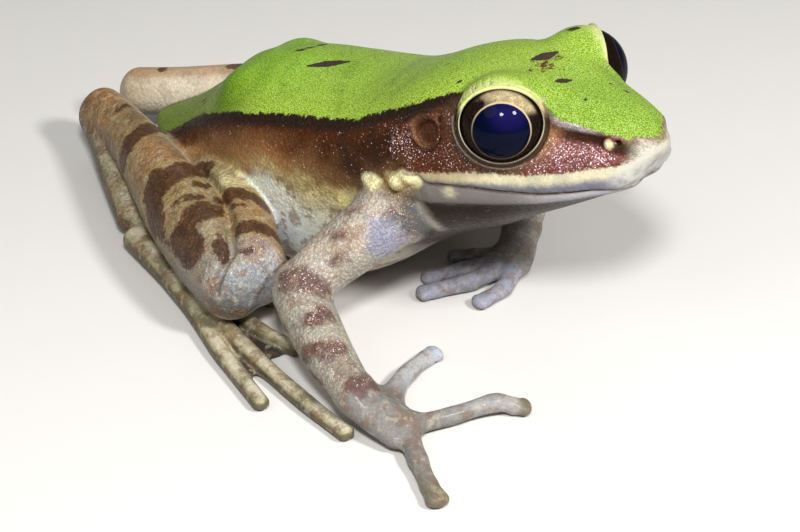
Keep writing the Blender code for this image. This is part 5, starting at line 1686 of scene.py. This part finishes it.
def make_eye(name, side, radius):
    """Make one eyeball: a ball with a raised cornea, a groove round it, and the iris's own flat places."""
    bpy.ops.object.select_all(action="DESELECT")
    bpy.ops.mesh.primitive_uv_sphere_add(segments=96, ring_count=64, radius=radius, location=(0, 0, 0))
    eye = bpy.context.object
    eye.name = f"eyeball_{name}"
    points = points_of(eye.data)
    in_front = points[:, 2] > 0
    flat = np.hypot(points[:, 0], points[:, 1]) / MM
    cornea = np.where(in_front, np.exp(-((flat / CORNEA_REACH) ** 4)), 0)
    groove = np.where(in_front, np.exp(-(((flat - GROOVE_PLACE) / GROOVE_HALF) ** 2)), 0)
    points *= (1 + CORNEA_RISE * cornea - GROOVE_DEPTH * groove)[:, None]

    turn = Vector(EYE_AXIS * (side, 1, 1)).to_track_quat("Z", "Y").to_matrix()
    up = turn.inverted() @ Vector((0, 0, 1))
    up = np.array((up.x, up.y)) / math.hypot(up.x, up.y)
    # The third number is 1 on the near eye and 0 on the far eye, whose iris is painted darker as painted shade.
    iris = np.column_stack([
        side * (points[:, 0] * up[1] - points[:, 1] * up[0]) / MM,
        (points[:, 0] * up[0] + points[:, 1] * up[1]) / MM,
        np.full(len(points), 0.0 if side > 0 else 1.0),
    ])
    layer = eye.data.attributes.new("iris", "FLOAT_VECTOR", "POINT")
    layer.data.foreach_set("vector", iris.astype(np.float32).ravel())
    centre = origin() + Vector(EYE_CENTRE * (side, 1, 1)) * MM
    set_points(eye.data, points @ np.array(turn).T + np.array(centre))
    choose(eye)
    bpy.ops.object.shade_smooth()
    return eye


class FROG_OT_eyes(bpy.types.Operator):
    """Make the two eyes"""

    bl_idname = "frog.eyes"
    bl_label = "Eyes"

    def execute(self, context):
        finish = EyeFinish(palette_of(context)).finish()
        for name, side in (("left", 1), ("right", -1)):
            eye = make_eye(name, side, context.scene.frog_sizes.eye_radius)
            eye.data.materials.append(finish)
            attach(eye, "root")
            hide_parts(f"eye_{name}")
        return {"FINISHED"}


# Where the camera stands, in millimetres from the working origin, and its turn and rise in degrees.
CAMERA_PLACE, CAMERA_TURN, CAMERA_RISE, CAMERA_LENS = (-203.5, -147.7, 170.8), -50, 33, 104.6
# Large soft lamps: name, place from the working origin in metres, size and power.
LAMPS = (("key", (-0.38, 0.06, 0.44), 0.34, 0.5), ("back", (0.30, 0.34, 0.36), 0.40, 0.3))
# The two flashes: name and where each shows on the near eye, to the side and up, as parts of its radius.
FLASHES = (("flash_a", 0.0, 0.15), ("flash_b", 0.295, 0.195))
FLASH_AWAY, FLASH_SIZE, FLASH_POWER = 330.0, 0.054, 1.15
SKY_COLOUR, SKY_STRENGTH = (0.92, 0.96, 1.0, 1.0), 0.16


def make_camera(place):
    """Make the camera at the photograph's viewing angle."""
    turn, rise = math.radians(CAMERA_TURN), math.radians(CAMERA_RISE)
    back = Vector((math.sin(turn) * math.cos(rise), -math.cos(turn) * math.cos(rise), math.sin(rise)))
    camera = bpy.data.objects.new("camera", bpy.data.cameras.new("camera"))
    camera.location = place + Vector(CAMERA_PLACE) * MM
    camera.rotation_euler = back.to_track_quat("Z", "Y").to_euler()
    camera.data.sensor_width = 36.0
    camera.data.lens = CAMERA_LENS
    camera.data.clip_start = 0.01
    bpy.context.scene.collection.objects.link(camera)
    bpy.context.scene.camera = camera


def make_lamp(name, place, offset, size, power, aim=(0.0, 0.01, 0.02)):
    """Make a round soft lamp that shines on a place, both measured from the working origin."""
    data = bpy.data.lights.new(name, "AREA")
    data.shape = "DISK"
    data.size = size
    data.energy = power
    lamp = bpy.data.objects.new(name, data)
    lamp.location = place + Vector(offset)
    lamp.rotation_euler = (lamp.location - place - Vector(aim)).to_track_quat("Z", "Y").to_euler()
    bpy.context.scene.collection.objects.link(lamp)


def make_flashes(place):
    """Make two small lamps that show on the near eye where the photograph has its two bright points."""
    eye = EYE_CENTRE * (-1, 1, 1)
    view = CAMERA_PLACE - eye
    view /= np.linalg.norm(view)
    right = np.cross((0, 0, 1), view)
    right /= np.linalg.norm(right)
    above = np.cross(view, right)
    aim = eye * MM + np.array((0, 0.015, -0.01))
    for name, x, y in FLASHES:
        normal = view * math.sqrt(1 - x * x - y * y) + right * x + above * y
        toward = 2 * (normal @ view) * normal - view
        make_lamp(name, place, (eye + toward * FLASH_AWAY) * MM, FLASH_SIZE, FLASH_POWER, aim)


class FROG_OT_stage(bpy.types.Operator):
    """Make the floor, the lights and the camera"""

    bl_idname = "frog.stage"
    bl_label = "Stage"

    def execute(self, context):
        scene = context.scene
        bpy.ops.object.select_all(action="DESELECT")
        bpy.ops.mesh.primitive_plane_add(size=4.0, location=(0, 0, 0))
        floor = context.object
        floor.name = "floor"
        floor.data.materials.append(floor_finish(palette_of(context)))

        place = origin()
        make_camera(place)
        make_flashes(place)
        for name, offset, size, power in LAMPS:
            make_lamp(name, place, offset, size, power)
        world = bpy.data.worlds.new("studio")
        world.use_nodes = True
        background = world.node_tree.nodes["Background"]
        background.inputs["Color"].default_value = SKY_COLOUR
        background.inputs["Strength"].default_value = SKY_STRENGTH
        scene.world = world
        scene.view_settings.view_transform = "Standard"
        return {"FINISHED"}


class FROG_PT_panel(bpy.types.Panel):
    """Lists the frog's pieces"""

    bl_idname = "FROG_PT_panel"
    bl_label = "Large odorous frog"
    bl_space_type = "VIEW_3D"
    bl_region_type = "UI"
    bl_category = "Frog"

    def draw(self, context):
        for name in FrogSizes.__annotations__:
            self.layout.prop(context.scene.frog_sizes, name)
        for name in FrogColours.__annotations__:
            self.layout.prop(context.scene.frog_colours, name)
        for operator in (FROG_OT_skin, FROG_OT_eyes, FROG_OT_stage):
            self.layout.operator(operator.bl_idname)


CLASSES = (FrogSizes, FrogColours, FROG_OT_skin, FROG_OT_eyes, FROG_OT_stage, FROG_PT_panel)


def register():
    """Register the classes and their settings."""
    for item in CLASSES:
        bpy.utils.register_class(item)
    bpy.types.Scene.frog_sizes = PointerProperty(type=FrogSizes)
    bpy.types.Scene.frog_colours = PointerProperty(type=FrogColours)


def unregister():
    """Take the classes and their settings out again."""
    del bpy.types.Scene.frog_sizes
    del bpy.types.Scene.frog_colours
    for item in reversed(CLASSES):
        bpy.utils.unregister_class(item)


def main():
    """Build the frog and its stage."""
    register()
    bpy.ops.frog.skin()
    bpy.ops.frog.eyes()
    bpy.ops.frog.stage()


if __name__ == "__main__":
    main()
